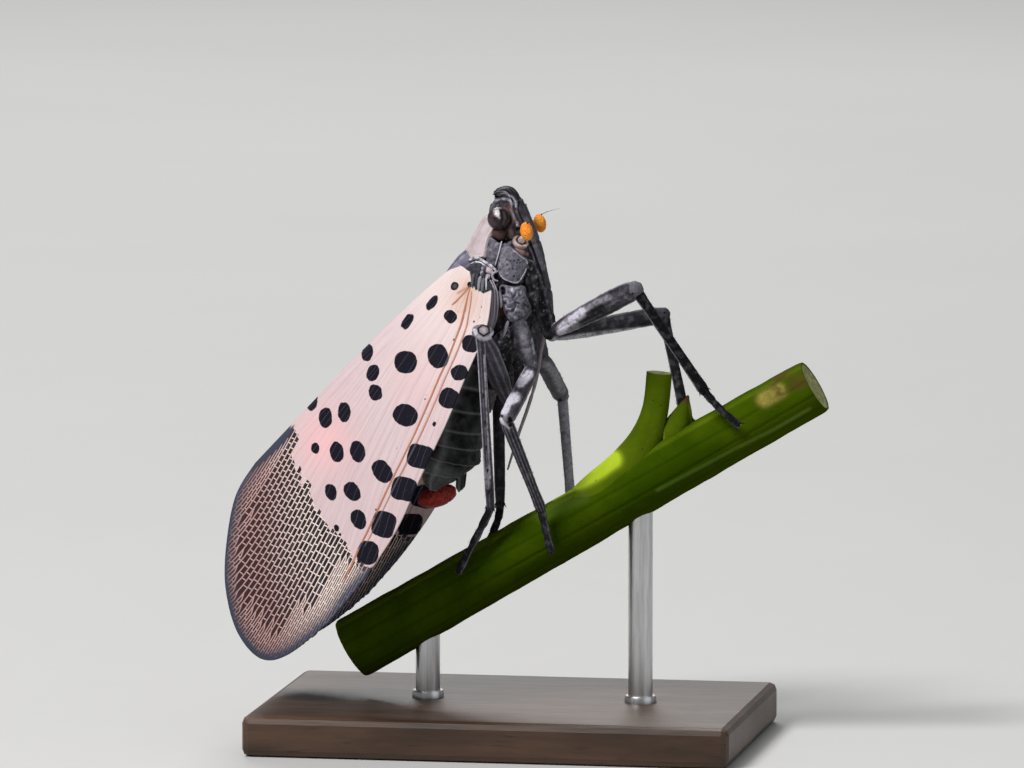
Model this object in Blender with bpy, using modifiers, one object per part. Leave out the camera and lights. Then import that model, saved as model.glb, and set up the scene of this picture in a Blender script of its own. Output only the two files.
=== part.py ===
# Spotted lanternfly, adult female, as a still life-size model.
# It stands head up on a cut length of green stem, and a small display stand holds the stem.
# World axes: +X to the viewer's right, +Y away from the viewer, +Z up, the floor at z = 0.
# Body axes: forward to the head, left wing side, and up for the back, tilted by BODY_PITCH.
# All lengths below are in millimetres and are turned into metres where a mesh is made.

import math

import bmesh
import bpy
from mathutils import Matrix, Vector

MM = 0.001
GAP = 0.25
WELD = 5e-6

BODY_PITCH = math.radians(61.0)
BODY_ORIGIN = (1.6, 0.0, 21.5)

# Lofted bodies: forward, up, half height and half width of each section, in body axes.
THORAX_SECTIONS = (
    (3.30, 0.72, 0.90, 1.45),
    (2.60, 0.58, 1.16, 1.95),
    (1.80, 0.45, 1.50, 2.15),
    (1.15, 0.38, 1.75, 2.20),
    (0.60, 0.48, 2.18, 2.20),
    (-0.60, 0.40, 2.15, 2.20),
    (-1.80, 0.25, 2.10, 2.20),
    (-2.70, 0.10, 2.05, 2.20),
)
ABDOMEN_SECTIONS = (
    (-2.95, -0.10, 1.90, 2.15),
    (-4.20, -0.45, 1.95, 2.40),
    (-5.60, -0.80, 1.95, 2.45),
    (-7.00, -1.12, 1.85, 2.30),
    (-8.20, -1.38, 1.60, 1.95),
    (-9.10, -1.55, 1.25, 1.45),
    (-9.75, -1.72, 0.80, 0.90),
    (-10.10, -1.80, 0.30, 0.40),
)
HEAD_SECTIONS = (
    (0.62, -2.12, 0.25, 0.38),
    (1.29, -1.39, 0.42, 0.55),
    (2.05, -0.65, 0.48, 0.72),
    (2.84, 0.17, 0.54, 1.05),
    (3.45, 0.98, 0.66, 1.42),
    (3.88, 1.72, 0.84, 1.55),
    (4.25, 2.18, 0.84, 1.28),
    (4.64, 2.38, 0.60, 0.90),
    (4.90, 2.62, 0.36, 0.58),
    (4.80, 2.92, 0.24, 0.40),
    (4.46, 3.04, 0.12, 0.20),
)
ABDOMEN_RINGS = 7
RING_RELIEF = 0.10

# Side outline of the saddle behind the head: forward and up.
PRONOTUM_OUTLINE = ((3.45, 2.00), (2.15, 1.55), (1.20, 2.60), (1.20, 4.50), (3.45, 4.50))
PRONOTUM_THICKNESS = 0.60

EYE_PLACE = (3.98, 1.72, 1.88)
EYE_RADII = (0.60, 0.52, 0.62)
TEGULA_PLACE = (1.72, 2.46, 1.50)
TEGULA_RADII = (0.38, 0.27, 0.52)

SCAPE_PLACE = (3.45, 1.42, 0.64)
SCAPE_RADIUS = 0.36
PEDICEL_PLACE = (4.10, 1.80, 0.62)
PEDICEL_RADII = (0.42, 0.30, 0.30)
ARISTA_TIP = (5.15, 2.55, 0.20)
ARISTA_RADIUS = 0.25

# The labium runs back under the body from the end of the face.
ROSTRUM_PATH = (
    (0.20, 0.0, -2.45),
    (-0.97, 0.0, -2.86),
    (-2.37, 0.0, -3.20),
    (-3.48, 0.0, -3.40),
    (-5.34, 0.0, -3.74),
    (-7.41, 0.0, -4.20),
)
ROSTRUM_RADII = (0.30, 0.28, 0.26, 0.25, 0.25, 0.10)

# Right forewing outline in body axes, wing side positive: forward, out and up.
WING_COSTAL_EDGE = (
    (1.15, 2.95, 0.68),
    (-0.28, 3.35, -0.02),
    (-1.49, 3.80, -0.46),
    (-3.41, 4.40, -0.96),
    (-5.66, 5.00, -1.36),
    (-8.35, 5.50, -1.53),
    (-11.20, 5.80, -1.46),
    (-14.26, 5.70, -1.14),
    (-17.05, 5.20, -0.60),
)
WING_TIP_EDGE = (
    (-13.02, 0.45, 6.46),
    (-14.91, 0.70, 6.62),
    (-17.08, 1.20, 6.05),
    (-18.91, 1.90, 4.95),
    (-20.33, 2.60, 3.34),
    (-20.70, 3.40, 1.61),
    (-19.61, 4.30, 0.44),
    (-17.05, 5.20, -0.60),
)
WING_INNER_EDGE = (
    (0.95, 1.65, 2.72),
    (-0.63, 0.75, 3.17),
    (-3.40, 0.42, 3.95),
    (-7.62, 0.40, 5.03),
    (-10.60, 0.40, 5.82),
    (-13.02, 0.45, 6.46),
)
WING_CAMBER = 0.65
WING_THICKNESS = 0.50
FOREWING_ROWS = 22
FOREWING_COLUMNS = 20
HINDWING_ROWS = 12
HINDWING_COLUMNS = 10
HINDWING_DEPTH = 0.85
HINDWING_ALONG = (0.12, 0.80)
HINDWING_ACROSS = (0.06, 0.72)

# Vein ridges: the wing column, and how far along the wing the ridge starts.
VEIN_HEIGHT = 0.14
VEIN_FADE_ROWS = 3
VEIN_STARTS = {3: 0.0, 6: 0.0, 10: 0.0, 13: 0.0, 17: 0.0, 8: 0.35, 15: 0.4, 5: 0.55, 12: 0.6}

# Legs: world places of the joints. The last point is the tip between the claws.
LEG_JOINTS = {
    "fore_right": ((3.08, -1.35, 23.50), (4.12, -1.60, 20.31), (8.69, -3.50, 22.81),
                   (11.86, -2.00, 17.71), (12.52, -2.08, 16.99), (13.49, -2.02, 16.11)),
    "fore_left": ((2.66, 1.35, 23.50), (3.72, 1.60, 19.85), (8.93, 3.60, 20.77),
                  (10.16, 2.30, 16.21), (10.67, 2.22, 15.54), (11.60, 2.06, 14.99)),
    "mid_right": ((2.56, -1.50, 20.71), (3.35, -1.75, 18.58), (2.62, -5.20, 16.46),
                  (3.81, -2.15, 11.77), (4.05, -2.10, 10.68), (4.28, -2.00, 9.68)),
    "mid_left": ((2.63, 1.50, 20.74), (3.23, 1.75, 18.60), (3.71, 5.00, 16.39),
                 (4.55, 2.20, 11.66), (4.77, 2.12, 10.69), (5.22, 1.84, 9.85)),
    "hind_right": ((1.65, -1.35, 19.60), (2.50, -1.40, 17.50), (1.46, -5.65, 21.10),
                   (1.23, -2.10, 11.71), (0.88, -2.10, 10.82), (-0.31, -1.92, 8.54)),
    "hind_left": ((1.65, 1.35, 19.60), (2.50, 1.40, 17.45), (1.40, 5.60, 20.70),
                  (1.10, 2.30, 11.28), (0.92, 2.22, 10.50), (0.28, 1.92, 9.04)),
}
SEGMENTS = ("coxa", "femur", "tibia", "tarsus")
# Radius profiles: the part of the length, then the radius.
LEG_PROFILES = {
    "coxa": ((0.0, 0.48), (0.4, 0.50), (0.85, 0.40), (1.0, 0.28)),
    "femur": ((0.0, 0.30), (0.2, 0.40), (0.7, 0.46), (0.93, 0.42), (1.0, 0.28)),
    "tibia": ((0.0, 0.27), (0.1, 0.29), (0.5, 0.26), (0.92, 0.29), (1.0, 0.25)),
    "tarsus": ((0.0, 0.25), (0.3, 0.27), (0.6, 0.25), (0.9, 0.27), (1.0, 0.18)),
}
CLAW_LENGTH = 0.55
CLAW_SPREAD = 0.28
CLAW_RADIUS = 0.13
SPINE_LENGTH = 0.60
SPINE_RADIUS = 0.16
HIND_SPINES = (0.35, 0.50, 0.64, 0.77, 0.89)

# Stem, cut at both ends, rising to the right.
STEM_LOW = (-6.0, 0.0, 4.30)
STEM_HIGH = (17.0, 0.0, 17.83)
STEM_RADIUS_LOW = 1.60
STEM_RADIUS_HIGH = 1.38
STALK_PATH = ((6.20, 0.0, 11.90), (7.70, 0.0, 13.40), (8.65, 0.0, 14.95), (9.15, 0.0, 16.50),
              (9.35, 0.0, 18.30))
STALK_RADII = (1.30, 1.15, 0.86, 0.62, 0.58)
BUD_FOOT = (10.15, 0.0, 14.70)
BUD_TIP = (10.98, 0.0, 17.50)
BUD_RADII = (0.45, 0.66, 0.62, 0.42, 0.08)

BASE_CENTRE = (2.0, 0.0)
BASE_SIZE = (24.0, 16.0, 2.0)
BASE_EDGE = 0.35
ROD_RADIUS = 0.60
ROD_PLACES = {"stand_rod_low": -2.2, "stand_rod_high": 8.4}

COLOURS = {
    "wing": (0.78, 0.63, 0.58), "hindwing": (0.55, 0.06, 0.05), "body": (0.05, 0.05, 0.06),
    "abdomen": (0.07, 0.06, 0.05), "leg": (0.07, 0.07, 0.08), "eye": (0.05, 0.02, 0.02),
    "antenna": (0.85, 0.24, 0.02), "pronotum": (0.62, 0.50, 0.46), "stem": (0.25, 0.36, 0.04),
    "stand": (0.10, 0.10, 0.10), "rod": (0.55, 0.55, 0.56),
}


def clear_scene():
    for old in list(bpy.data.objects):
        bpy.data.objects.remove(old, do_unlink=True)


def make_collection(name):
    collection = bpy.data.collections.new(name)
    bpy.context.scene.collection.children.link(collection)
    return collection


def metres(point):
    return Vector(point) * MM


def make_material(name, kind, roughness=0.5, metallic=0.0):
    material = bpy.data.materials.new(name)
    material.use_nodes = True
    shader = material.node_tree.nodes["Principled BSDF"]
    shader.inputs["Base Color"].default_value = (*COLOURS[kind], 1.0)
    shader.inputs["Roughness"].default_value = roughness
    shader.inputs["Metallic"].default_value = metallic
    return material


def add_object(name, mesh, collection, parent=None, location=(0.0, 0.0, 0.0)):
    made = bpy.data.objects.new(name, mesh)
    collection.objects.link(made)
    made.location = location
    made.parent = parent
    return made


def smooth_rows(rows, steps):
    """Rows of numbers with steps - 1 new rows on a smooth curve between each two."""
    padded = (rows[0], *rows, rows[-1])
    result = []
    for index in range(1, len(rows)):
        before, start, end, after = padded[index - 1:index + 3]
        for step in range(steps):
            t = step / steps
            result.append(tuple(
                0.5 * (2 * q + (r - p) * t + (2 * p - 5 * q + 4 * r - s) * t ** 2
                       + (3 * q - p - 3 * r + s) * t ** 3)
                for p, q, r, s in zip(before, start, end, after)))
    result.append(tuple(rows[-1]))
    return result


def even_points(points, count):
    """Count + 1 points at even distances along a smooth curve through the points."""
    dense = [Vector(point) for point in smooth_rows(points, 12)]
    reach = [0.0]
    for here, there in zip(dense, dense[1:]):
        reach.append(reach[-1] + (there - here).length)
    result = []
    index = 0
    for step in range(count + 1):
        target = reach[-1] * step / count
        while index < len(reach) - 2 and reach[index + 1] < target:
            index += 1
        share = (target - reach[index]) / (reach[index + 1] - reach[index])
        result.append(dense[index].lerp(dense[index + 1], min(share, 1.0)))
    return result


def finish_mesh(name, shape):
    """A mesh from the bmesh, welded and with its faces pointing out."""
    bmesh.ops.remove_doubles(shape, verts=shape.verts, dist=1e-7)
    bmesh.ops.recalc_face_normals(shape, faces=shape.faces)
    mesh = bpy.data.meshes.new(name)
    shape.to_mesh(mesh)
    shape.free()
    return mesh


def loft_mesh(name, sections, sides, steps, grow=0.0, bent=False):
    """A closed skin over ellipses along the body, square to their line where it is bent."""
    rows = smooth_rows(sections, steps)
    centres = [Vector((row[0], 0.0, row[1])) for row in rows]
    shape = bmesh.new()
    rings = []
    last = len(rows) - 1
    for index, (row, centre) in enumerate(zip(rows, centres)):
        along = (centres[min(index + 1, last)] - centres[max(index - 1, 0)]).normalized()
        if not bent:
            along = Vector((math.copysign(1.0, along.x), 0.0, 0.0))
        across = Vector((-along.z, 0.0, along.x))
        if index == 0:
            centre = centre - along * grow
        if index == last:
            centre = centre + along * grow
        ring = []
        for side in range(sides):
            angle = 2 * math.pi * side / sides
            point = centre + across * (row[2] + grow) * math.sin(angle)
            point.y += (row[3] + grow) * math.cos(angle)
            ring.append(shape.verts.new(point * MM))
        rings.append(ring)
    for ring, after in zip(rings, rings[1:]):
        for side in range(sides):
            other = (side + 1) % sides
            shape.faces.new((ring[side], ring[other], after[other], after[side]))
    shape.faces.new(rings[0])
    shape.faces.new(rings[-1])
    return finish_mesh(name, shape)


def tube_mesh(name, points, radii, sides_setting=2):
    """A tapered round tube from a bevelled curve with welded caps."""
    curve = bpy.data.curves.new(name, "CURVE")
    curve.dimensions = "3D"
    curve.bevel_depth = MM
    curve.bevel_resolution = sides_setting
    curve.use_fill_caps = True
    spline = curve.splines.new("POLY")
    spline.points.add(len(points) - 1)
    for knot, point, radius in zip(spline.points, points, radii):
        knot.co = (*metres(point), 1.0)
        knot.radius = radius
    holder = bpy.data.objects.new(name, curve)
    bpy.context.scene.collection.objects.link(holder)
    mesh = evaluated_mesh(holder)
    bpy.data.objects.remove(holder, do_unlink=True)
    bpy.data.curves.remove(curve)
    shape = bmesh.new()
    shape.from_mesh(mesh)
    bpy.data.meshes.remove(mesh)
    return finish_mesh(name, shape)


def ball_mesh(name, radii, grow=0.0, segments=14, rings=9):
    shape = bmesh.new()
    size = Matrix.Diagonal([(radius + grow) * MM for radius in radii]).to_4x4()
    bmesh.ops.create_uvsphere(shape, u_segments=segments, v_segments=rings, radius=1.0,
                              matrix=size)
    return finish_mesh(name, shape)


def spike_mesh(name, start, end, radius, sides=5):
    """A pointed spine from start to end."""
    start, end = metres(start), metres(end)
    along = end - start
    turn = along.to_track_quat("Z", "Y").to_matrix().to_4x4()
    place = Matrix.Translation((start + end) / 2) @ turn
    shape = bmesh.new()
    bmesh.ops.create_cone(shape, cap_ends=True, segments=sides, radius1=radius * MM,
                          radius2=radius * MM * 0.15, depth=along.length, matrix=place)
    return finish_mesh(name, shape)


def box_mesh(name, low, high):
    low, high = metres(low), metres(high)
    shape = bmesh.new()
    size = Matrix.Diagonal(high - low).to_4x4()
    bmesh.ops.create_cube(shape, size=1.0, matrix=Matrix.Translation((low + high) / 2) @ size)
    return finish_mesh(name, shape)


def prism_mesh(name, outline, half_width):
    """A side outline, forward and up, drawn out to both sides."""
    shape = bmesh.new()
    corners = [shape.verts.new(metres((x, -half_width, z))) for x, z in outline]
    face = shape.faces.new(corners)
    drawn = bmesh.ops.extrude_face_region(shape, geom=[face])["geom"]
    moved = [vert for vert in drawn if isinstance(vert, bmesh.types.BMVert)]
    bmesh.ops.translate(shape, verts=moved, vec=metres((0.0, 2 * half_width, 0.0)))
    return finish_mesh(name, shape)


def evaluated_mesh(item):
    bpy.context.view_layer.update()
    depsgraph = bpy.context.evaluated_depsgraph_get()
    return bpy.data.meshes.new_from_object(item.evaluated_get(depsgraph))


def keep_largest(mesh):
    """Weld slivers, and drop every closed surface but the one with the most volume."""
    shape = bmesh.new()
    shape.from_mesh(mesh)
    bmesh.ops.remove_doubles(shape, verts=shape.verts, dist=WELD)
    bmesh.ops.dissolve_degenerate(shape, dist=WELD, edges=shape.edges)
    bmesh.ops.triangulate(shape, faces=shape.faces)
    bmesh.ops.dissolve_degenerate(shape, dist=WELD, edges=shape.edges)
    left = set(shape.faces)
    groups = []
    while left:
        group = {left.pop()}
        edge_faces = list(group)
        while edge_faces:
            face = edge_faces.pop()
            for edge in face.edges:
                for other in edge.link_faces:
                    if other in left:
                        left.remove(other)
                        group.add(other)
                        edge_faces.append(other)
        groups.append(group)
    if len(groups) > 1:
        def volume(group):
            return abs(sum(face.normal.dot(face.calc_center_median()) * face.calc_area()
                           for face in group))
        groups.sort(key=volume)
        extra = [face for group in groups[:-1] for face in group]
        bmesh.ops.delete(shape, geom=extra, context="FACES")
    shape.to_mesh(mesh)
    shape.free()


def combine(target, other, operation, solver="EXACT"):
    """Join, cut or intersect the target with another object or collection, and apply it."""
    change = target.modifiers.new(operation.lower(), "BOOLEAN")
    change.operation = operation
    change.solver = solver
    if isinstance(other, bpy.types.Collection):
        change.operand_type = "COLLECTION"
        change.collection = other
    else:
        change.object = other
    mesh = evaluated_mesh(target)
    target.modifiers.clear()
    target.data = mesh
    keep_largest(mesh)


def fuse(target, meshes):
    """Join closed meshes, given in the target's own axes, to the target in one union."""
    pieces = make_collection("pieces of " + target.name)
    for mesh in meshes:
        add_object(mesh.name, mesh, pieces, target.parent, target.location)
    combine(target, pieces, "UNION")
    for piece in list(pieces.objects):
        bpy.data.objects.remove(piece, do_unlink=True)
    bpy.data.collections.remove(pieces)


def finish_node(item, material, smooth_angle=35.0):
    item.data.materials.clear()
    item.data.materials.append(material)
    item.data.shade_smooth()
    item.data.set_sharp_from_angle(angle=math.radians(smooth_angle))


def add_cutter(name, mesh, parent=None, location=(0.0, 0.0, 0.0)):
    cutter = add_object(name, mesh, CUTTERS, parent, location)
    cutter.hide_render = True
    cutter.display_type = "WIRE"
    return cutter


def mirror_sides():
    """Name ending and sign of the sideways axis, left side positive."""
    return (("left", 1.0), ("right", -1.0))


def sided(point, sign):
    return Vector((point[0], point[1] * sign, point[2]))


def make_thorax():
    thorax = add_object("thorax", loft_mesh("thorax", THORAX_SECTIONS, 20, 2), MODEL, BODY)
    combine(thorax, HEAD_CLEARANCE, "DIFFERENCE")
    finish_node(thorax, make_material("thorax grey", "body", 0.5))


def make_pronotum():
    """A saddle over the front of the thorax: an offset shell of the thorax in a box."""
    outer = PRONOTUM_THICKNESS + GAP
    mesh = loft_mesh("pronotum", THORAX_SECTIONS, 20, 2, outer)
    pronotum = add_object("pronotum", mesh, MODEL, BODY)
    frame = prism_mesh("pronotum frame", PRONOTUM_OUTLINE, 4.0)
    combine(pronotum, add_cutter("pronotum frame", frame, BODY), "INTERSECT")
    combine(pronotum, THORAX_CLEARANCE, "DIFFERENCE")
    combine(pronotum, HEAD_CLEARANCE, "DIFFERENCE")
    finish_node(pronotum, make_material("pronotum beige", "pronotum", 0.6))


def make_head():
    head = add_object("head", loft_mesh("head", HEAD_SECTIONS, 18, 2, 0.0, True), MODEL, BODY)
    for side, sign in mirror_sides():
        socket = ball_mesh("eye socket " + side, EYE_RADII, GAP)
        place = metres(sided(EYE_PLACE, sign))
        combine(head, add_cutter("eye socket " + side, socket, BODY, place), "DIFFERENCE")
    finish_node(head, make_material("head grey", "body", 0.45))


def make_eyes():
    skin = make_material("eye brown", "eye", 0.15)
    for side, sign in mirror_sides():
        eye = add_object("eye_" + side, ball_mesh("eye", EYE_RADII), MODEL, BODY,
                         metres(sided(EYE_PLACE, sign)))
        finish_node(eye, skin)


def make_antennae():
    """A short ring, an orange bulb and the bristle at its end."""
    skin = make_material("antenna orange", "antenna", 0.6)
    for side, sign in mirror_sides():
        scape, bulb = sided(SCAPE_PLACE, sign), sided(PEDICEL_PLACE, sign)
        tip = sided(ARISTA_TIP, sign)
        along = (bulb - scape).normalized()
        turn = along.to_track_quat("X", "Z").to_matrix().to_4x4()
        bulb_mesh = ball_mesh("bulb", PEDICEL_RADII, 0.0, 12, 8)
        bulb_mesh.transform(Matrix.Translation(bulb * MM) @ turn)
        antenna = add_object("antenna_" + side, bulb_mesh, MODEL, BODY)
        ring = tube_mesh("ring", (scape - along * 0.3, scape + along * 0.35),
                         (SCAPE_RADIUS, SCAPE_RADIUS * 0.8), 3)
        bristle = spike_mesh("bristle", bulb + along * 0.1, tip, ARISTA_RADIUS, 6)
        fuse(antenna, (ring, bristle))
        combine(antenna, HEAD_CLEARANCE, "DIFFERENCE")
        finish_node(antenna, skin)


def make_tegulae():
    skin = make_material("tegula grey", "pronotum", 0.7)
    for side, sign in mirror_sides():
        tegula = add_object("tegula_" + side, ball_mesh("tegula", TEGULA_RADII, 0.0, 12, 8),
                            MODEL, BODY, metres(sided(TEGULA_PLACE, sign)))
        finish_node(tegula, skin)


def make_rostrum():
    mesh = tube_mesh("rostrum", smooth_rows(ROSTRUM_PATH, 3),
                     [row[0] for row in smooth_rows([(r,) for r in ROSTRUM_RADII], 3)])
    rostrum = add_object("rostrum", mesh, MODEL, BODY)
    combine(rostrum, HEAD_CLEARANCE, "DIFFERENCE")
    finish_node(rostrum, make_material("rostrum grey", "body", 0.5))


def ringed_sections(sections, rings, relief):
    """Sections with a low swelling and a groove for each ring of the abdomen."""
    rows = smooth_rows(sections, 4)
    length = rows[0][0] - rows[-1][0]
    result = []
    for along, up, height, width in rows:
        place = (rows[0][0] - along) / length * rings
        groove = relief * abs(math.cos(math.pi * place)) ** 6
        result.append((along, up, height - groove, width - groove))
    return result


def make_abdomen():
    sections = ringed_sections(ABDOMEN_SECTIONS, ABDOMEN_RINGS, RING_RELIEF)
    abdomen = add_object("abdomen", loft_mesh("abdomen", sections, 18, 1), MODEL, BODY)
    finish_node(abdomen, make_material("abdomen dark", "abdomen", 0.55))


def wing_grid(rows, columns, along=(0.0, 1.0), across=(0.0, 1.0)):
    """Points of the right wing's middle surface, blended from its four edges."""
    fine = 60
    inner = even_points(WING_INNER_EDGE, fine)
    costal = even_points(WING_COSTAL_EDGE, fine)
    tip = even_points(WING_TIP_EDGE, fine)
    root = [inner[0].lerp(costal[0], step / fine) for step in range(fine + 1)]
    corners = (inner[0], costal[0], tip[0], tip[-1])

    def on(edge, share):
        place = min(max(share, 0.0), 1.0) * fine
        index = min(int(place), fine - 1)
        return edge[index].lerp(edge[index + 1], place - index)

    grid = []
    for row in range(rows + 1):
        u = along[0] + (along[1] - along[0]) * row / rows
        line = []
        for column in range(columns + 1):
            v = across[0] + (across[1] - across[0]) * column / columns
            point = (on(inner, u) * (1 - v) + on(costal, u) * v
                     + on(root, v) * (1 - u) + on(tip, v) * u
                     - corners[0] * (1 - u) * (1 - v) - corners[1] * (1 - u) * v
                     - corners[2] * u * (1 - v) - corners[3] * u * v)
            bulge = WING_CAMBER * math.sin(math.pi * v) * math.sin(math.pi * (0.1 + 0.9 * u))
            line.append(point + Vector((0.0, 0.769, 0.639)) * bulge)
        grid.append(line)
    return grid


def grid_normals(grid):
    """Unit normals of the grid, all on the outer side of the wing."""
    rows, columns = len(grid) - 1, len(grid[0]) - 1
    result = []
    for row in range(rows + 1):
        line = []
        for column in range(columns + 1):
            along = grid[min(row + 1, rows)][column] - grid[max(row - 1, 0)][column]
            across = grid[row][min(column + 1, columns)] - grid[row][max(column - 1, 0)]
            normal = along.cross(across).normalized()
            line.append(normal if normal.y > 0 else -normal)
        result.append(line)
    return result


def vane_mesh(name, grid, outer_lift, inner_lift, sign):
    """A closed thin vane over a grid, split into triangles alike on both faces."""
    normals = grid_normals(grid)
    rows, columns = len(grid) - 1, len(grid[0]) - 1
    shape = bmesh.new()
    outer, inner = [], []
    for row in range(rows + 1):
        outer.append([])
        inner.append([])
        for column in range(columns + 1):
            point, normal = grid[row][column], normals[row][column]
            above = point + normal * outer_lift(row, column)
            below = point - normal * inner_lift(row, column)
            outer[row].append(shape.verts.new(metres(sided(above, sign))))
            inner[row].append(shape.verts.new(metres(sided(below, sign))))
    for row in range(rows):
        for column in range(columns):
            for face in (outer, inner):
                a, b = face[row][column], face[row][column + 1]
                c, d = face[row + 1][column + 1], face[row + 1][column]
                shape.faces.new((a, b, c))
                shape.faces.new((a, c, d))
    rim = [(0, column) for column in range(columns)]
    rim += [(row, columns) for row in range(rows)]
    rim += [(rows, column) for column in range(columns, 0, -1)]
    rim += [(row, 0) for row in range(rows, 0, -1)]
    for (row, column), (row2, column2) in zip(rim, rim[1:] + rim[:1]):
        a, b = outer[row][column], outer[row2][column2]
        c, d = inner[row2][column2], inner[row][column]
        shape.faces.new((a, b, c))
        shape.faces.new((a, c, d))
    return finish_mesh(name, shape)


def make_forewings():
    skin = make_material("forewing pink", "wing", 0.6)
    grid = wing_grid(FOREWING_ROWS, FOREWING_COLUMNS)

    def outer_lift(row, column):
        start = VEIN_STARTS.get(column)
        raised = start is not None and row / FOREWING_ROWS >= start
        fade = min(1.0, (FOREWING_ROWS - row) / VEIN_FADE_ROWS)
        return WING_THICKNESS / 2 + (VEIN_HEIGHT * fade if raised else 0.0)

    def inner_lift(row, column):
        return WING_THICKNESS / 2

    for side, sign in mirror_sides():
        mesh = vane_mesh("forewing", grid, outer_lift, inner_lift, sign)
        wing = add_object("forewing_" + side, mesh, MODEL, BODY)
        combine(wing, THORAX_CLEARANCE, "DIFFERENCE")
        finish_node(wing, skin, 60.0)


def make_hindwings():
    """Folded under the forewings, a little in from their inner faces."""
    skin = make_material("hindwing red", "hindwing", 0.6)
    grid = wing_grid(HINDWING_ROWS, HINDWING_COLUMNS, HINDWING_ALONG, HINDWING_ACROSS)

    def outer_lift(row, column):
        return WING_THICKNESS / 2 - HINDWING_DEPTH

    def inner_lift(row, column):
        return WING_THICKNESS / 2 + HINDWING_DEPTH

    for side, sign in mirror_sides():
        mesh = vane_mesh("hindwing", grid, outer_lift, inner_lift, sign)
        wing = add_object("hindwing_" + side, mesh, MODEL, BODY)
        combine(wing, THORAX_CLEARANCE, "DIFFERENCE")
        combine(wing, ABDOMEN_CLEARANCE, "DIFFERENCE")
        middle = add_cutter("middle plane " + side, box_mesh(
            "middle plane", (-25.0, -4.0 if sign > 0 else -GAP / 2, -5.0),
            (5.0, GAP / 2 if sign > 0 else 4.0, 10.0)), BODY)
        combine(wing, middle, "DIFFERENCE")
        finish_node(wing, skin, 60.0)


def profile_points(points, profile, count):
    """Places and radii along a path: the profile gives the radius by share of the length."""
    places = even_points(points, count)
    radii = []
    for step in range(count + 1):
        share = step / count
        for (low, first), (high, second) in zip(profile, profile[1:]):
            if share <= high + 1e-9:
                radii.append(first + (second - first) * (share - low) / (high - low))
                break
    return places, radii


def segment_path(joints, segment):
    index = SEGMENTS.index(segment)
    last = len(joints) if segment == "tarsus" else index + 2
    return [Vector(joint) for joint in joints[index:last]]


def segment_mesh(joints, segment, grow=0.0):
    counts = {"coxa": 5, "femur": 8, "tibia": 9, "tarsus": 9}
    path = segment_path(joints, segment)
    places, radii = profile_points(path, LEG_PROFILES[segment], counts[segment])
    if grow:
        places[-1] = places[-1] + (places[-1] - places[-2]).normalized() * grow
    return tube_mesh(segment, places, [radius + grow for radius in radii])


def claw_meshes(joints):
    """Two pointed claws at the end of the foot, apart and turned down to the stem."""
    foot = [Vector(joint) for joint in joints]
    along = (foot[-1] - foot[-2]).normalized()
    stem = (Vector(STEM_HIGH) - Vector(STEM_LOW)).normalized()
    centre = Vector(STEM_LOW) + stem * (foot[-1] - Vector(STEM_LOW)).dot(stem)
    out = (foot[-1] - centre).normalized()
    beside = along.cross(out).normalized()
    start = foot[-1] - along * 0.2
    return [spike_mesh("claw", start, start + along * CLAW_LENGTH + beside * spread,
                       CLAW_RADIUS)
            for spread in (CLAW_SPREAD, -CLAW_SPREAD)]


def tibia_spines(joints, name):
    """Side spines of the hind tibia."""
    knee, ankle = Vector(joints[2]), Vector(joints[3])
    along = (ankle - knee).normalized()
    outward = Vector((0.35, joints[2][1], 0.0)).normalized()
    result = []
    if name.startswith("hind"):
        for share in HIND_SPINES:
            root = knee.lerp(ankle, share)
            tip = root + outward * SPINE_LENGTH + along * SPINE_LENGTH * 0.5
            result.append(spike_mesh("spine", root, tip, SPINE_RADIUS))
    return result


def make_legs():
    """Each piece of a leg is cut clear of the piece that it grows from."""
    skin = make_material("leg grey", "leg", 0.4)
    for name, joints in LEG_JOINTS.items():
        clearance = THORAX_CLEARANCE
        for segment in SEGMENTS:
            leg = add_object("leg_" + name + "_" + segment, segment_mesh(joints, segment), MODEL)
            if segment == "tarsus":
                fuse(leg, claw_meshes(joints))
            if segment == "tibia" and name.startswith("hind"):
                fuse(leg, tibia_spines(joints, name))
            combine(leg, clearance, "DIFFERENCE")
            if segment == "coxa":
                combine(leg, HEAD_CLEARANCE, "DIFFERENCE")
            finish_node(leg, skin)
            clearance = add_cutter(name + " " + segment + " clearance",
                                   segment_mesh(joints, segment, GAP))


def stem_mesh(name, grow=0.0):
    count = 10
    low, high = Vector(STEM_LOW), Vector(STEM_HIGH)
    places = [low.lerp(high, step / count) for step in range(count + 1)]
    radii = [STEM_RADIUS_LOW + (STEM_RADIUS_HIGH - STEM_RADIUS_LOW) * step / count + grow
             for step in range(count + 1)]
    return tube_mesh(name, places, radii, 6)


def make_perch():
    """The stem with the stub of a leaf stalk and the bud beside it."""
    perch = add_object("perch_stem", stem_mesh("perch"), MODEL)
    radii = [row[0] for row in smooth_rows([(radius,) for radius in STALK_RADII], 2)]
    stalk = tube_mesh("stalk", smooth_rows(STALK_PATH, 2), radii, 4)
    low, high = Vector(BUD_FOOT), Vector(BUD_TIP)
    bud = tube_mesh("bud", [low.lerp(high, step / 4) for step in range(5)], BUD_RADII, 3)
    fuse(perch, (stalk, bud))
    finish_node(perch, make_material("stem green", "stem", 0.5))


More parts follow.
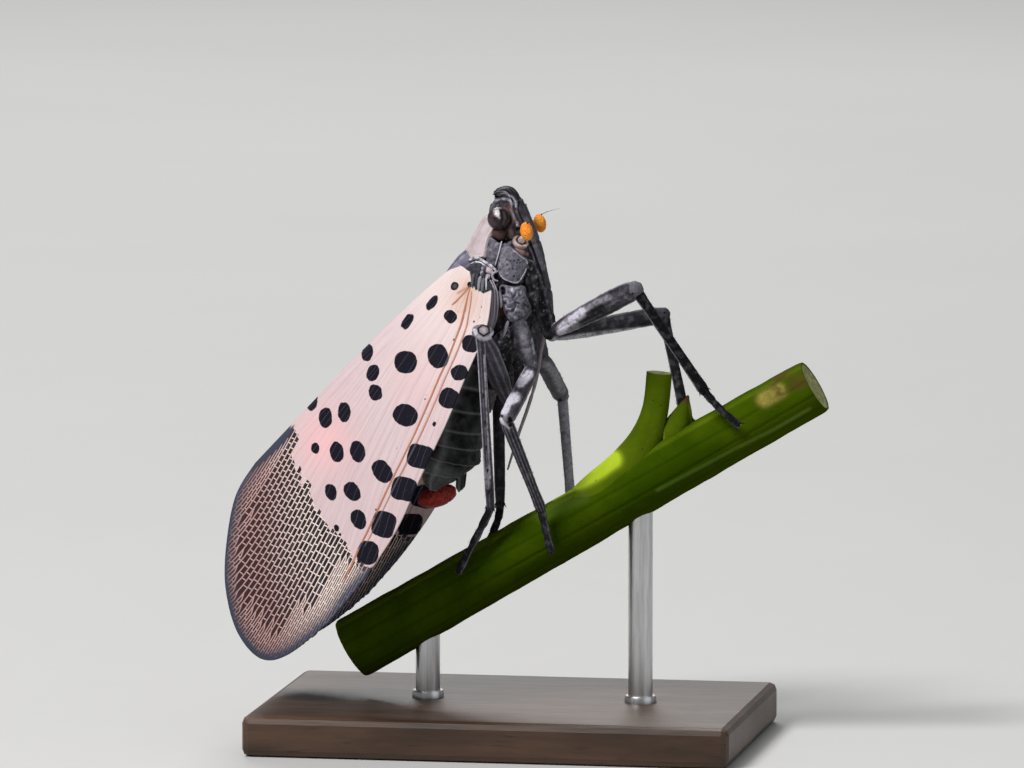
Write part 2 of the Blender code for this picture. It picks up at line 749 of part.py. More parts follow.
def make_stand():
    half = Vector(BASE_SIZE) / 2
    low = (BASE_CENTRE[0] - half.x, BASE_CENTRE[1] - half.y, 0.0)
    high = (BASE_CENTRE[0] + half.x, BASE_CENTRE[1] + half.y, BASE_SIZE[2])
    base = add_object("stand_base", box_mesh("base", low, high), MODEL)
    edge = base.modifiers.new("edge", "BEVEL")
    edge.width = BASE_EDGE * MM
    edge.segments = 2
    finish_node(base, make_material("base black", "stand", 0.4))
    skin = make_material("rod steel", "rod", 0.3, 1.0)
    clearance = add_cutter("stem clearance", stem_mesh("stem clearance", GAP))
    slope = Vector(STEM_HIGH) - Vector(STEM_LOW)
    for name, place in ROD_PLACES.items():
        top = STEM_LOW[2] + (place - STEM_LOW[0]) * slope.z / slope.x
        ends = [(place, 0.0, BASE_SIZE[2] + GAP), (place, 0.0, top)]
        rod = add_object(name, tube_mesh(name, ends, (ROD_RADIUS, ROD_RADIUS), 6), MODEL)
        combine(rod, clearance, "DIFFERENCE")
        finish_node(rod, skin)


clear_scene()
MODEL = make_collection("spotted lanternfly")
CUTTERS = make_collection("cutters")
BODY = bpy.data.objects.new("body axes", None)
MODEL.objects.link(BODY)
BODY.location = metres(BODY_ORIGIN)
BODY.rotation_euler = (0.0, -BODY_PITCH, 0.0)
HEAD_CLEARANCE = add_cutter("head clearance",
                            loft_mesh("head", HEAD_SECTIONS[:8], 18, 2, GAP, True), BODY)
THORAX_CLEARANCE = add_cutter("thorax clearance",
                              loft_mesh("thorax", THORAX_SECTIONS, 20, 2, GAP), BODY)
ABDOMEN_CLEARANCE = add_cutter("abdomen clearance",
                               loft_mesh("abdomen", ABDOMEN_SECTIONS, 18, 2, GAP), BODY)

make_thorax()
make_pronotum()
make_head()
make_eyes()
make_antennae()
make_tegulae()
make_rostrum()
make_abdomen()
make_forewings()
make_hindwings()
make_legs()
make_perch()
make_stand()
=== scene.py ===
# Spotted lanternfly on a cut stem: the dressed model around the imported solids.
# Lengths are in millimetres until a mesh is made. Body axes are forward, out to a side, and up.

import math
import random

import bmesh
import bpy
import numpy as np
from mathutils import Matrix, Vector, noise


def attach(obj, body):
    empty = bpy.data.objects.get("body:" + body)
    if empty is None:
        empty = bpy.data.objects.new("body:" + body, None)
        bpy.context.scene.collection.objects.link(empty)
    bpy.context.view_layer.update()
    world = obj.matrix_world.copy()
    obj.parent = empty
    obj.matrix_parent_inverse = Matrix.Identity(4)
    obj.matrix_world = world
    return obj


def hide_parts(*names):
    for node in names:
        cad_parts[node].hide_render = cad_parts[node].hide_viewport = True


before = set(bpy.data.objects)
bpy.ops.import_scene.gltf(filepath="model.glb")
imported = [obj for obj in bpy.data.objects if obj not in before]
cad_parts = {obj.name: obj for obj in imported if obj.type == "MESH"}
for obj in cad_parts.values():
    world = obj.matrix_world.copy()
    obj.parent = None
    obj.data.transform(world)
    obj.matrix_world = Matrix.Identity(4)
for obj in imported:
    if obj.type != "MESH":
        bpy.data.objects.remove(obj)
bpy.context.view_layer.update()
random.seed(11)
print("frame loaded")

mm = 0.001
scene = bpy.context.scene

bodyAxes = {"pitch": 61.0, "origin": (1.6, 0.0, 21.5)}
pitch = math.radians(bodyAxes["pitch"])
bodyTurn = np.array([[math.cos(pitch), 0.0, math.sin(pitch)],
                     [0.0, 1.0, 0.0],
                     [-math.sin(pitch), 0.0, math.cos(pitch)]])

camera = {"azimuth": 10.0, "elevation": 7.0, "target": (2.0, 0.0, 17.6),
          "lens": 400.0, "sensor": 36.0, "frameWidth": 50.2}
azimuth = math.radians(camera["azimuth"])
elevation = math.radians(camera["elevation"])
cameraRight = np.array([math.cos(azimuth), math.sin(azimuth), 0.0])
cameraBack = np.array([math.sin(azimuth) * math.cos(elevation),
                       -math.cos(azimuth) * math.cos(elevation), math.sin(elevation)])
cameraUp = np.cross(cameraBack, cameraRight)
cameraReach = camera["frameWidth"] * camera["lens"] / camera["sensor"]


# ---- camera, light and floor

def makeCamera():
    data = bpy.data.cameras.new("camera")
    data.lens = camera["lens"]
    data.sensor_width = camera["sensor"]
    data.clip_start = 0.01
    data.clip_end = 20.0
    holder = bpy.data.objects.new("camera", data)
    scene.collection.objects.link(holder)
    place = np.array(camera["target"]) + cameraBack * cameraReach
    holder.location = Vector(place) * mm
    holder.rotation_euler = Vector(cameraBack).to_track_quat("Z", "Y").to_euler()
    scene.camera = holder


lighting = {
    "world": {"colour": (0.96, 0.98, 1.0), "strength": 0.24},
    # place in metres, size in metres, power in watts, colour
    "lamps": (((-0.19, -0.27, 0.39), 0.16, 2.55, (1.0, 0.99, 0.985)),
              ((0.36, -0.16, 0.12), 0.40, 0.22, (0.93, 0.96, 1.0)),
              ((-0.10, 0.40, 0.34), 0.26, 1.25, (1.0, 0.99, 0.98))),
}
scene.view_settings.view_transform = "Standard"


def makeLight():
    world = bpy.data.worlds.new("studio")
    world.use_nodes = True
    back = world.node_tree.nodes["Background"]
    back.inputs["Color"].default_value = (*lighting["world"]["colour"], 1.0)
    back.inputs["Strength"].default_value = lighting["world"]["strength"]
    scene.world = world
    middle = Vector((0.002, 0.0, 0.016))
    for place, size, power, colour in lighting["lamps"]:
        data = bpy.data.lights.new("softbox", "AREA")
        data.shape = "DISK"
        data.size = size
        data.energy = power
        data.color = colour
        lamp = bpy.data.objects.new("softbox", data)
        scene.collection.objects.link(lamp)
        lamp.location = place
        lamp.rotation_euler = (Vector(place) - middle).to_track_quat("Z", "Y").to_euler()


# ---- shader helpers

class Wire:
    def __init__(self, tree, socket=None):
        self.tree = tree
        self.socket = socket

    def node(self, kind, settings=None, sockets=None, output=0):
        made = self.tree.nodes.new("ShaderNode" + kind)
        for name, value in (settings or {}).items():
            if name == "stops":
                ramp = made.color_ramp
                while len(ramp.elements) < len(value):
                    ramp.elements.new(1.0)
                for stop, (place, colour) in zip(ramp.elements, value):
                    stop.position = place
                    stop.color = (*colour, 1.0)
            else:
                setattr(made, name, value)
        for name, value in (sockets or {}).items():
            if isinstance(value, Wire):
                self.tree.links.new(value.socket, made.inputs[name])
            else:
                made.inputs[name].default_value = value
        return Wire(self.tree, made.outputs[output])

    def calc(self, operation, other=0.0, swap=False):
        first, second = (other, self) if swap else (self, other)
        return self.node("Math", {"operation": operation}, {0: first, 1: second})

    def __add__(self, other):
        return self.calc("ADD", other)

    def __radd__(self, other):
        return self.calc("ADD", other, True)

    def __sub__(self, other):
        return self.calc("SUBTRACT", other)

    def __rsub__(self, other):
        return self.calc("SUBTRACT", other, True)

    def __mul__(self, other):
        return self.calc("MULTIPLY", other)

    def __rmul__(self, other):
        return self.calc("MULTIPLY", other, True)

    def __pow__(self, other):
        return self.calc("POWER", other)

    def step(self, low, high):    # smooth 0 to 1 between two values
        return self.node("MapRange", {"interpolation_type": "SMOOTHSTEP"},
                         {"Value": self, "From Min": low, "From Max": high})

    def field(self, name):    # a number kept on the mesh
        return self.node("Attribute", {"attribute_name": name}, output="Fac")

    def places(self, stretch=(1.0, 1.0, 1.0)):    # world place in mm
        coords = self.node("TexCoord", output="Object")
        return self.node("VectorMath", {"operation": "MULTIPLY"},
                         {0: coords, 1: tuple(1000.0 * part for part in stretch)})

    def grain(self, scale, detail=3.0, stretch=(1.0, 1.0, 1.0), rough=0.55, where=None):
        return self.node("TexNoise", sockets={
            "Vector": where or self.places(stretch), "Scale": scale, "Detail": detail,
            "Roughness": rough})

    def cells(self, scale, stretch=(1.0, 1.0, 1.0), where=None, feature="F1"):
        return self.node("TexVoronoi", {"feature": feature}, {
            "Vector": where or self.places(stretch), "Scale": scale})

    def join(self, x, y, z=0.0):
        return self.node("CombineXYZ", sockets={0: x, 1: y, 2: z})

    def mix(self, share, first, second):    # colours by a share of the second
        first, second = [part if isinstance(part, Wire) else (*part, 1.0)
                         for part in (first, second)]
        return self.node("Mix", {"data_type": "RGBA"}, {0: share, 6: first, 7: second}, 2)

    def bump(self, height, depth, strength=1.0):    # depth in mm
        return self.node("Bump", sockets={"Height": height, "Distance": depth * mm,
                                          "Strength": strength})


finishes = {}


def newFinish(name, **constants):
    material = bpy.data.materials.new(name)
    material.use_nodes = True
    tree = material.node_tree
    shader = tree.nodes["Principled BSDF"]
    for socket, value in constants.items():
        shader.inputs[socket.replace("_", " ")].default_value = value
    finishes[name] = material

    def feed(socket, wire):
        tree.links.new(wire.socket, shader.inputs[socket])
    return Wire(tree), feed


# ---- mesh helpers

def toWorld(points):
    return np.array(bodyAxes["origin"]) + np.asarray(points, float) @ bodyTurn


def toView(points):    # where a body point of the right side falls in the photo's plane, in mm
    world = toWorld(np.asarray(points) * (1.0, -1.0, 1.0)) - np.array(camera["target"])
    scale = cameraReach / (cameraReach - world @ cameraBack)
    return world @ cameraRight * scale, world @ cameraUp * scale


def unit(vectors):
    vectors = np.asarray(vectors, float)
    return vectors / np.maximum(np.linalg.norm(vectors, axis=-1, keepdims=True), 1e-9)


def smoothRows(rows, steps):
    rows = np.asarray(rows, float)
    padded = np.vstack((rows[:1], rows, rows[-1:]))
    made = []
    for index in range(1, len(rows)):
        p, q, r, s = padded[index - 1:index + 3]
        for step in range(steps):
            t = step / steps
            made.append(0.5 * (2 * q + (r - p) * t + (2 * p - 5 * q + 4 * r - s) * t ** 2
                               + (3 * q - p - 3 * r + s) * t ** 3))
    made.append(rows[-1])
    return np.array(made)


def evenPoints(points, count):    # evenly spaced along a smooth curve
    dense = smoothRows(points, 12)
    steps = np.linalg.norm(np.diff(dense[:, :3], axis=0), axis=1)
    reach = np.concatenate(([0.0], np.cumsum(steps)))
    wanted = np.linspace(0.0, reach[-1], count)
    return np.stack([np.interp(wanted, reach, dense[:, k]) for k in range(dense.shape[1])], 1)


def closedOutline(points, count):
    points = np.asarray(points, float)
    wrapped = np.vstack((points[-2:], points, points[:3]))
    dense = smoothRows(wrapped, 10)[20:20 + 10 * len(points) + 1]
    steps = np.linalg.norm(np.diff(dense, axis=0), axis=1)
    reach = np.concatenate(([0.0], np.cumsum(steps)))
    wanted = np.linspace(0.0, reach[-1], count, endpoint=False)
    return np.stack([np.interp(wanted, reach, dense[:, k]) for k in range(dense.shape[1])], 1)


def gridFaces(rows, columns, wrap=False):
    index = np.arange(rows * columns).reshape(rows, columns)
    after = np.roll(index, -1, axis=1) if wrap else index[:, 1:]
    index = index if wrap else index[:, :-1]
    quads = np.stack((index[:-1], after[:-1], after[1:], index[1:]), axis=-1)
    return quads.reshape(-1, 4).tolist()


def gridNormals(grid, wrap=False):
    along = np.gradient(grid, axis=0)
    if wrap:
        across = np.roll(grid, -1, axis=1) - np.roll(grid, 1, axis=1)
    else:
        across = np.gradient(grid, axis=1)
    return unit(np.cross(along, across))


def wobble(points, scale, seed=0.0, octaves=3):    # smooth noise, about -1 to 1
    flat = np.asarray(points, float).reshape(-1, 3) * scale + seed
    made = [noise.fractal(Vector(p), 1.0, 2.0, octaves) for p in flat]
    return np.array(made).reshape(np.asarray(points).shape[:-1])


def creases(points, scale, seed=0.0):    # sharp folds: 0 on the flats, 1 in the creases
    return np.clip(1.0 - np.abs(wobble(points, scale, seed, 2)) * 3.0, 0.0, 1.0)


class Shape:
    def __init__(self):
        self.points = []
        self.faces = []
        self.tags = []
        self.fields = []
        self.count = 0

    def add(self, points, faces, tag=0, **fields):
        points = np.asarray(points, float).reshape(-1, 3)
        self.points.append(points)
        self.faces += [[corner + self.count for corner in face] for face in faces]
        self.tags += [tag] * len(faces)
        self.fields.append((len(points), fields))
        self.count += len(points)

    def grid(self, grid, wrap=False, caps=False, tag=0, **fields):
        rows, columns = grid.shape[:2]
        faces = gridFaces(rows, columns, wrap)
        if caps:
            last = (rows - 1) * columns
            faces.append(list(range(columns))[::-1])
            faces.append(list(range(last, last + columns)))
        self.add(grid, faces, tag, **fields)

    def build(self, name, looks, nodes=(), inBody=True, smooth=True):
        points = np.vstack(self.points)
        if inBody:
            points = toWorld(points)
        mesh = bpy.data.meshes.new(name)
        mesh.from_pydata((points * mm).tolist(), [], self.faces)
        for field in sorted({key for _, fields in self.fields for key in fields}):
            values = []
            for count, fields in self.fields:
                value = np.asarray(fields.get(field, 0.0), float).reshape(-1)
                values.append(np.full(count, value[0]) if len(value) == 1 else value)
            layer = mesh.attributes.new(field, "FLOAT", "POINT")
            layer.data.foreach_set("value", np.concatenate(values).astype(np.float32))
        for look in [looks] if isinstance(looks, str) else looks:
            mesh.materials.append(finishes[look])
        mesh.polygons.foreach_set("material_index", np.array(self.tags, np.int32))
        shape = bmesh.new()
        shape.from_mesh(mesh)
        bmesh.ops.recalc_face_normals(shape, faces=shape.faces)
        shape.to_mesh(mesh)
        shape.free()
        mesh.polygons.foreach_set("use_smooth", [smooth] * len(mesh.polygons))
        piece = bpy.data.objects.new(name, mesh)
        scene.collection.objects.link(piece)
        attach(piece, "root")
        if nodes:
            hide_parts(*nodes)
        return piece


def tubeGrid(points, radii, sides, form=None, side=None, rounded=True):
    # rings round a path; form(share, angle) changes the radius, side turns angle 0
    points = np.asarray(points, float)
    radii = np.asarray(radii, float)
    shares = np.linspace(0.0, 1.0, len(points))
    if rounded:
        turns = np.radians((80.0, 55.0, 28.0))
        start, end = unit(points[0] - points[1]), unit(points[-1] - points[-2])
        points = np.vstack([points[0] + start * radii[0] * math.sin(t) for t in turns]
                           + [points]
                           + [points[-1] + end * radii[-1] * math.sin(t) for t in turns[::-1]])
        radii = np.concatenate((radii[0] * np.cos(turns), radii, radii[-1] * np.cos(turns[::-1])))
        shares = np.concatenate((np.zeros(3), shares, np.ones(3)))
    tangents = unit(np.gradient(points, axis=0))
    if side is None:
        side = (0.0, 1.0, 0.0) if abs(tangents[0][1]) < 0.9 else (1.0, 0.0, 0.0)
    side = np.asarray(side, float)
    angles = np.linspace(0.0, 2 * math.pi, sides, endpoint=False)
    grid = np.zeros((len(points), sides, 3))
    for index, (point, along, radius) in enumerate(zip(points, tangents, radii)):
        side = unit(side - along * (side @ along))
        other = np.cross(along, side)
        reach = np.full(sides, radius)
        if form is not None:
            reach = reach * form(shares[index], angles)
        grid[index] = (point + np.outer(reach * np.cos(angles), side)
                       + np.outer(reach * np.sin(angles), other))
    return grid, shares, angles


def addTube(shape, points, radii, sides=10, tag=0, **fields):
    grid, _, _ = tubeGrid(points, radii, sides)
    shape.grid(grid, True, True, tag, **fields)


def addSpike(shape, root, tip, radius, tag=0, sides=5, bend=(0.0, 0.0, 0.0), **fields):
    root, tip = np.asarray(root, float), np.asarray(tip, float)
    shares = np.array((0.0, 0.35, 0.7, 0.93))
    points = [root + (tip - root) * s + np.asarray(bend) * s * (1 - s) for s in shares]
    radii = radius * (1.0 - shares * 0.92)
    grid, _, _ = tubeGrid(points, radii, sides, rounded=False)
    faces = gridFaces(len(shares), sides, True)
    last = (len(shares) - 1) * sides
    faces.append(list(range(sides))[::-1])
    top = len(shares) * sides
    faces += [[last + k, last + (k + 1) % sides, top] for k in range(sides)]
    shape.add(np.vstack((grid.reshape(-1, 3), tip)), faces, tag, **fields)


def ballGrid(centre, radii, axes=None, rows=20, columns=28):
    tilt = np.linspace(0.03, math.pi - 0.03, rows)[:, None]
    turn = np.linspace(0.0, 2 * math.pi, columns, endpoint=False)[None, :]
    unitBall = np.stack((np.cos(tilt) + 0 * turn, np.sin(tilt) * np.cos(turn),
                         np.sin(tilt) * np.sin(turn)), axis=-1)
    points = unitBall * np.asarray(radii)
    if axes is not None:
        points = points @ np.asarray(axes)
    return np.asarray(centre) + points, unitBall


# ---- finishes

def bodyLooks():
    # chitin of the head, thorax and legs: near black, greyer by its tone, with pale wax and painted
    # highlights on top
    chitin = {"dark": (0.0035, 0.0035, 0.004), "grey": (0.205, 0.195, 0.240),
              "paleWaxAndHighlight": (0.62, 0.59, 0.68), "cheek": (0.13, 0.050, 0.040), "pink": (0.36, 0.22, 0.19)}
    for name, grainScale in (("chitin", 1.0), ("legChitin", 1.3)):
        wire, feed = newFinish(name, Specular_IOR_Level=0.04)
        broad = wire.grain(1.5 * grainScale, 4.0)
        fine = wire.grain(8.0 * grainScale, 3.0)
        pits = 1.0 - wire.cells(5.0 * grainScale).step(0.05, 0.16)
        tone = wire.field("tone")
        shade = tone * (0.30 + 1.1 * broad + 0.9 * (fine - 0.5))
        colour = wire.mix(shade, chitin["dark"], chitin["grey"])
        bloom = wire.field("bloom")
        speck = fine.step(0.63, 0.74) * 0.30 * (0.12 + tone)
        paleWaxAndHighlight = wire.node("Clamp", sockets={0: bloom * (0.45 + 0.9 * fine) + speck})
        colour = wire.mix(paleWaxAndHighlight, colour, chitin["paleWaxAndHighlight"])
        colour = wire.mix(wire.field("cheek") * (0.6 + 0.5 * fine), colour, chitin["cheek"])
        colour = wire.mix(wire.field("pink") * (0.5 + 0.7 * fine), colour, chitin["pink"])
        dark = wire.node("Clamp", sockets={0: wire.field("pit") + pits * tone * 0.7})
        colour = wire.mix(dark, colour, (0.0035, 0.003, 0.0035))
        feed("Base Color", colour)
        feed("Roughness", 0.34 + 0.22 * fine + 0.12 * paleWaxAndHighlight)
        height = fine * 0.6 + wire.cells(11.0 * grainScale) * 0.3 - pits * 0.6
        feed("Normal", wire.bump(height, 0.025, 0.8))

    wire, feed = newFinish("eye", Coat_Weight=0.35, Coat_Roughness=0.16, Specular_IOR_Level=0.10)
    facets = wire.cells(20.0)
    fine = wire.grain(5.0, 3.0)
    colour = wire.mix(wire.grain(1.8).step(0.4, 0.65), (0.004, 0.002, 0.003), (0.024, 0.012, 0.016))
    colour = wire.mix(facets.step(0.0, 0.7) * 0.3, colour, (0.022, 0.012, 0.015))
    colour = wire.mix(wire.field("cheek") * (0.5 + 0.8 * fine), colour, (0.085, 0.050, 0.060))
    # the pale spot marked on the eye is a painted highlight
    colour = wire.mix(wire.field("bloom") * (0.75 + 0.4 * fine), colour, (0.64, 0.60, 0.62))
    feed("Base Color", wire.mix(wire.field("pit"), colour, (0.003, 0.0015, 0.002)))
    feed("Roughness", 0.33 + 0.06 * facets)
    feed("Normal", wire.bump(facets, 0.006, 0.4))

    wire, feed = newFinish("antenna", Specular_IOR_Level=0.15)
    pits = wire.cells(11.0)
    spread = wire.grain(2.2)
    colour = wire.mix(spread.step(0.35, 0.7), (0.88, 0.25, 0.022), (1.0, 0.42, 0.060))
    feed("Base Color", wire.mix(pits.step(0.0, 0.30) * 0.9, (0.55, 0.11, 0.010), colour))
    feed("Roughness", 0.5 + 0.15 * spread)
    feed("Normal", wire.bump(pits, 0.035, 0.9))

    wire, feed = newFinish("scape", Specular_IOR_Level=0.25)
    spread = wire.grain(4.0)
    colour = wire.mix(spread.step(0.35, 0.65), (0.34, 0.24, 0.22), (0.62, 0.52, 0.50))
    feed("Base Color", wire.mix(wire.field("pit"), colour, (0.020, 0.014, 0.030)))
    feed("Roughness", 0.45 + 0.2 * spread)
    feed("Normal", wire.bump(wire.grain(14.0), 0.02, 0.6))

    wire, feed = newFinish("pronotum", Specular_IOR_Level=0.20)
    broad = wire.grain(0.9, 4.0)
    fine = wire.grain(7.0, 3.0)
    colour = wire.mix(broad.step(0.35, 0.7), (0.42, 0.345, 0.365), (0.57, 0.475, 0.495))
    colour = wire.mix(fine.step(0.58, 0.75) * 0.35, colour, (0.31, 0.235, 0.245))
    colour = wire.mix(wire.field("bloom"), colour, (0.68, 0.60, 0.59))
    colour = wire.mix(wire.field("pit") * 0.85, colour, (0.14, 0.09, 0.10))
    feed("Base Color", colour)
    feed("Roughness", 0.5 + 0.2 * fine)
    feed("Normal", wire.bump(fine, 0.03, 0.6))

    wire, feed = newFinish("mesonotum", Specular_IOR_Level=0.15)
    fine = wire.grain(8.0, 3.0)
    colour = wire.mix(wire.grain(1.4).step(0.35, 0.68), (0.065, 0.060, 0.095), (0.150, 0.138, 0.205))
    colour = wire.mix(wire.field("tone"), colour, (0.030, 0.036, 0.042))
    colour = wire.mix(wire.field("pink"), colour, (0.50, 0.38, 0.42))
    colour = wire.mix(wire.field("bloom") * (0.6 + 0.7 * fine), colour, (0.74, 0.70, 0.76))
    colour = wire.mix(wire.field("pit"), colour, (0.010, 0.008, 0.012))
    feed("Base Color", colour)
    feed("Roughness", 0.5 + 0.2 * fine)
    feed("Normal", wire.bump(fine, 0.03, 0.7))

    wire, feed = newFinish("abdomen", Specular_IOR_Level=0.07)
    broad = wire.grain(1.4, 3.0)
    fine = wire.grain(8.0, 3.0)
    colour = wire.mix(broad.step(0.35, 0.70), (0.0045, 0.0045, 0.005), (0.034, 0.036, 0.040))
    colour = wire.mix(fine.step(0.60, 0.75) * 0.30, colour, (0.08, 0.08, 0.085))
    colour = wire.mix(wire.field("bloom") * (0.5 + 0.7 * fine), colour, (0.26, 0.27, 0.28))
    colour = wire.mix(wire.field("back") * (0.75 + 0.3 * broad), colour, (0.36, 0.20, 0.02))
    colour = wire.mix(wire.field("cheek") * (0.3 + 1.0 * fine), colour, (0.16, 0.035, 0.022))
    red = wire.mix(fine.step(0.4, 0.65), (0.22, 0.030, 0.025), (0.50, 0.058, 0.045))
    colour = wire.mix(wire.field("red").step(0.3, 0.7), colour, red)
    feed("Base Color", colour)
    feed("Roughness", 0.42 + 0.25 * fine)
    feed("Normal", wire.bump(fine, 0.03, 0.7))

    wire, feed = newFinish("hair", Roughness=0.6, Specular_IOR_Level=0.1)
    feed("Base Color", wire.mix(wire.grain(1.5).step(0.4, 0.6), (0.010, 0.010, 0.010),
                                (0.055, 0.055, 0.06)))

    wire, feed = newFinish("claw", Specular_IOR_Level=0.25)
    shade = wire.grain(5.0)
    feed("Base Color", wire.mix(shade.step(0.4, 0.7), (0.005, 0.004, 0.004), (0.025, 0.018, 0.012)))
    feed("Roughness", 0.25 + 0.2 * shade)


def wingLooks():
    paint = {"cream": (0.655, 0.53, 0.535), "creamDeep": (0.56, 0.43, 0.445),
             "creamLight": (0.80, 0.69, 0.665), "warm": (0.62, 0.40, 0.30),
             "blush": (0.78, 0.44, 0.45), "vein": (0.44, 0.20, 0.125),
             "faintVein": (0.56, 0.42, 0.44), "spot": (0.008, 0.007, 0.013),
             "spotVein": (0.085, 0.08, 0.105), "cell": (0.017, 0.014, 0.018),
             "cellBrown": (0.042, 0.022, 0.023), "netVein": (0.80, 0.66, 0.60),
             "netVeinPink": (0.47, 0.30, 0.285), "haze": (0.085, 0.066, 0.084),
             "slate": (0.045, 0.052, 0.080), "slateVein": (0.145, 0.145, 0.185),
             "rim": (0.16, 0.18, 0.25), "costa": (0.80, 0.58, 0.40),
             "shoulder": (0.20, 0.185, 0.255), "hole": (0.085, 0.090, 0.088),
             "loop": (0.66, 0.40, 0.30), "wedge": (0.42, 0.20, 0.12)}
    wire, feed = newFinish("forewing", Specular_IOR_Level=0.06)
    spot = wire.field("spot")
    net = wire.field("net")
    edge = wire.field("edge")
    rib = wire.field("rib")
    strong = wire.field("strong")
    lane = wire.join(wire.field("lane") * 60.0, wire.field("along") * 7.0)
    streak = wire.grain(1.0, 3.0, where=lane)
    patch = wire.grain(1.0, 2.0, where=wire.join(wire.field("cellLane"), wire.field("cellAlong"),
                                                 3.0))
    fine = wire.grain(10.0, 3.0)
    ragged = (wire.grain(2.4, 3.0) - 0.5) * 0.30
    deep = streak.step(0.3, 0.75) * 0.8 + wire.field("along").step(0.20, 0.60) * 0.45
    cream = wire.mix(deep, paint["cream"], paint["creamDeep"])
    cream = wire.mix(0.65 - wire.field("along").step(0.02, 0.34) * 0.65, cream, paint["creamLight"])
    cream = wire.mix(wire.field("warm") * 0.75, cream, paint["warm"])
    cream = wire.mix(wire.field("blush") * 0.75, cream, paint["blush"])
    cream = wire.mix(wire.field("loop") * 0.7, cream, paint["loop"])
    cream = wire.mix(wire.field("wedge") * 0.8, cream, paint["wedge"])
    cream = wire.mix(rib * 0.15, cream, paint["faintVein"])
    cream = wire.mix(rib * strong, cream, paint["vein"])
    brown = wire.field("brown")
    cell = wire.mix(brown, wire.mix(patch.step(0.4, 0.75) * 0.35, paint["cell"], (0.16, 0.15, 0.18)),
                    paint["cellBrown"])
    netVein = wire.mix(brown, paint["netVein"], paint["netVeinPink"])
    netting = wire.mix(rib, cell, netVein)
    haze = 1.0 - wire.field("margin").step(0.18, 1.05)
    netting = wire.mix(haze * 0.72, netting, paint["haze"])
    colour = wire.mix((net + ragged * 0.15).step(-0.015, 0.015), cream, netting)
    border = 1.0 - (edge + ragged * 0.6 - wire.field("band")).step(-0.08, 0.08)
    border = border * (net.step(-0.25, -0.05))
    slate = wire.mix(rib * (0.4 + 0.5 * (1.0 - brown)), paint["slate"], paint["slateVein"])
    colour = wire.mix(border * 0.92, colour, slate)
    spotMask = (spot + ragged * 0.42).step(-0.014, 0.014)
    spotColour = wire.mix(rib * (0.45 + 0.5 * strong) + fine.step(0.62, 0.75) * 0.35,
                          paint["spot"], paint["spotVein"])
    spotColour = wire.mix(wire.field("hole") * 0.85, spotColour, paint["hole"])
    colour = wire.mix(spotMask, colour, spotColour)
    tipRim = (1.0 - wire.field("margin").step(0.02, 0.08)) * net.step(-0.3, 0.0)
    colour = wire.mix(tipRim * 0.8, colour, paint["rim"])
    costaRim = (1.0 - wire.field("costa").step(0.04, 0.11)) * (1.0 - net.step(-0.2, 0.1))
    colour = wire.mix(costaRim * 0.75 * (1.0 - spotMask * 0.6), colour, paint["costa"])
    pleated = wire.mix(fine.step(0.45, 0.7) * 0.25, (0.026, 0.032, 0.036), (0.20, 0.19, 0.21))
    colour = wire.mix(wire.field("shoulder").step(0.0, 0.06), colour, paint["shoulder"])
    colour = wire.mix(wire.field("root").step(0.0, 0.06), colour, pleated)
    feed("Base Color", colour)
    feed("Roughness", 0.48 + 0.18 * fine - 0.08 * rib)
    feed("Normal", wire.bump(fine * 0.5 + streak * 0.5, 0.03, 0.7))

    wire, feed = newFinish("hindwing", Specular_IOR_Level=0.3)
    along = wire.field("along")
    spots = wire.cells(1.3, where=wire.join(wire.field("across") * 8.0, along * 16.0, 2.0))
    ragged = (wire.grain(1.5) - 0.5) * 0.1
    red = wire.mix(wire.grain(2.0).step(0.4, 0.7), (0.42, 0.022, 0.016), (0.56, 0.055, 0.035))
    colour = wire.mix(1.0 - (spots + ragged).step(0.17, 0.20), red, (0.012, 0.010, 0.012))
    colour = wire.mix((along + ragged).step(0.50, 0.53), colour, (0.66, 0.62, 0.60))
    colour = wire.mix((along + ragged).step(0.64, 0.67), colour, (0.016, 0.015, 0.020))
    feed("Base Color", wire.mix(wire.field("rib") * 0.5, colour, (0.08, 0.04, 0.04)))
    feed("Roughness", 0.5 + 0.2 * wire.grain(9.0))
    feed("Normal", wire.bump(wire.grain(8.0), 0.03, 0.6))


def plantLooks():
    bark = {"dark": (0.025, 0.052, 0.0006), "light": (0.046, 0.078, 0.0015),
            "yellow": (0.27, 0.23, 0.050),
            "under": (0.025, 0.040, 0.0012), "groove": (0.018, 0.034, 0.001),
            "lit": (0.39, 0.52, 0.026), "gloss": (0.125, 0.195, 0.030), "speck": (0.030, 0.022, 0.004),
            "red": (0.085, 0.035, 0.020), "brown": (0.070, 0.045, 0.012),
            "pithDark": (0.22, 0.24, 0.09), "pithLight": (0.36, 0.35, 0.19)}
    wire, feed = newFinish("bark", Specular_IOR_Level=0.0)
    broad = wire.grain(0.35, 4.0)
    fine = wire.grain(6.0, 3.0)
    green = wire.mix(broad.step(0.35, 0.68), bark["dark"], bark["light"])
    # painted shade on the underside
    green = wire.mix(wire.field("under") * 0.85, green, bark["under"])
    green = wire.mix(wire.field("groove") * 0.40, green, bark["groove"])
    # painted light: the sunlit green laid over the stem where light falls
    green = wire.mix(wire.field("light") * (0.45 + 1.0 * broad), green, bark["lit"])
    # painted highlights
    green = wire.mix(wire.field("gloss") * (0.5 + 0.8 * broad), green, bark["gloss"])
    green = wire.mix(wire.field("yellow") * (0.4 + 0.9 * fine), green, bark["yellow"])
    speck = 1.0 - wire.cells(1.7).step(0.05, 0.09)
    green = wire.mix(speck * 0.7, green, bark["speck"])
    green = wire.mix(wire.field("brown") * wire.grain(1.1, 3.0).step(0.42, 0.62), green, bark["brown"])
    green = wire.mix(wire.field("red"), green, bark["red"])
    pith = wire.mix(wire.grain(5.0).step(0.4, 0.65), bark["pithDark"], bark["pithLight"])
    green = wire.mix(wire.field("pith"), green, pith)
    feed("Base Color", green)
    feed("Roughness", 0.36 + 0.24 * fine)
    feed("Normal", wire.bump(fine, 0.05, 0.5))


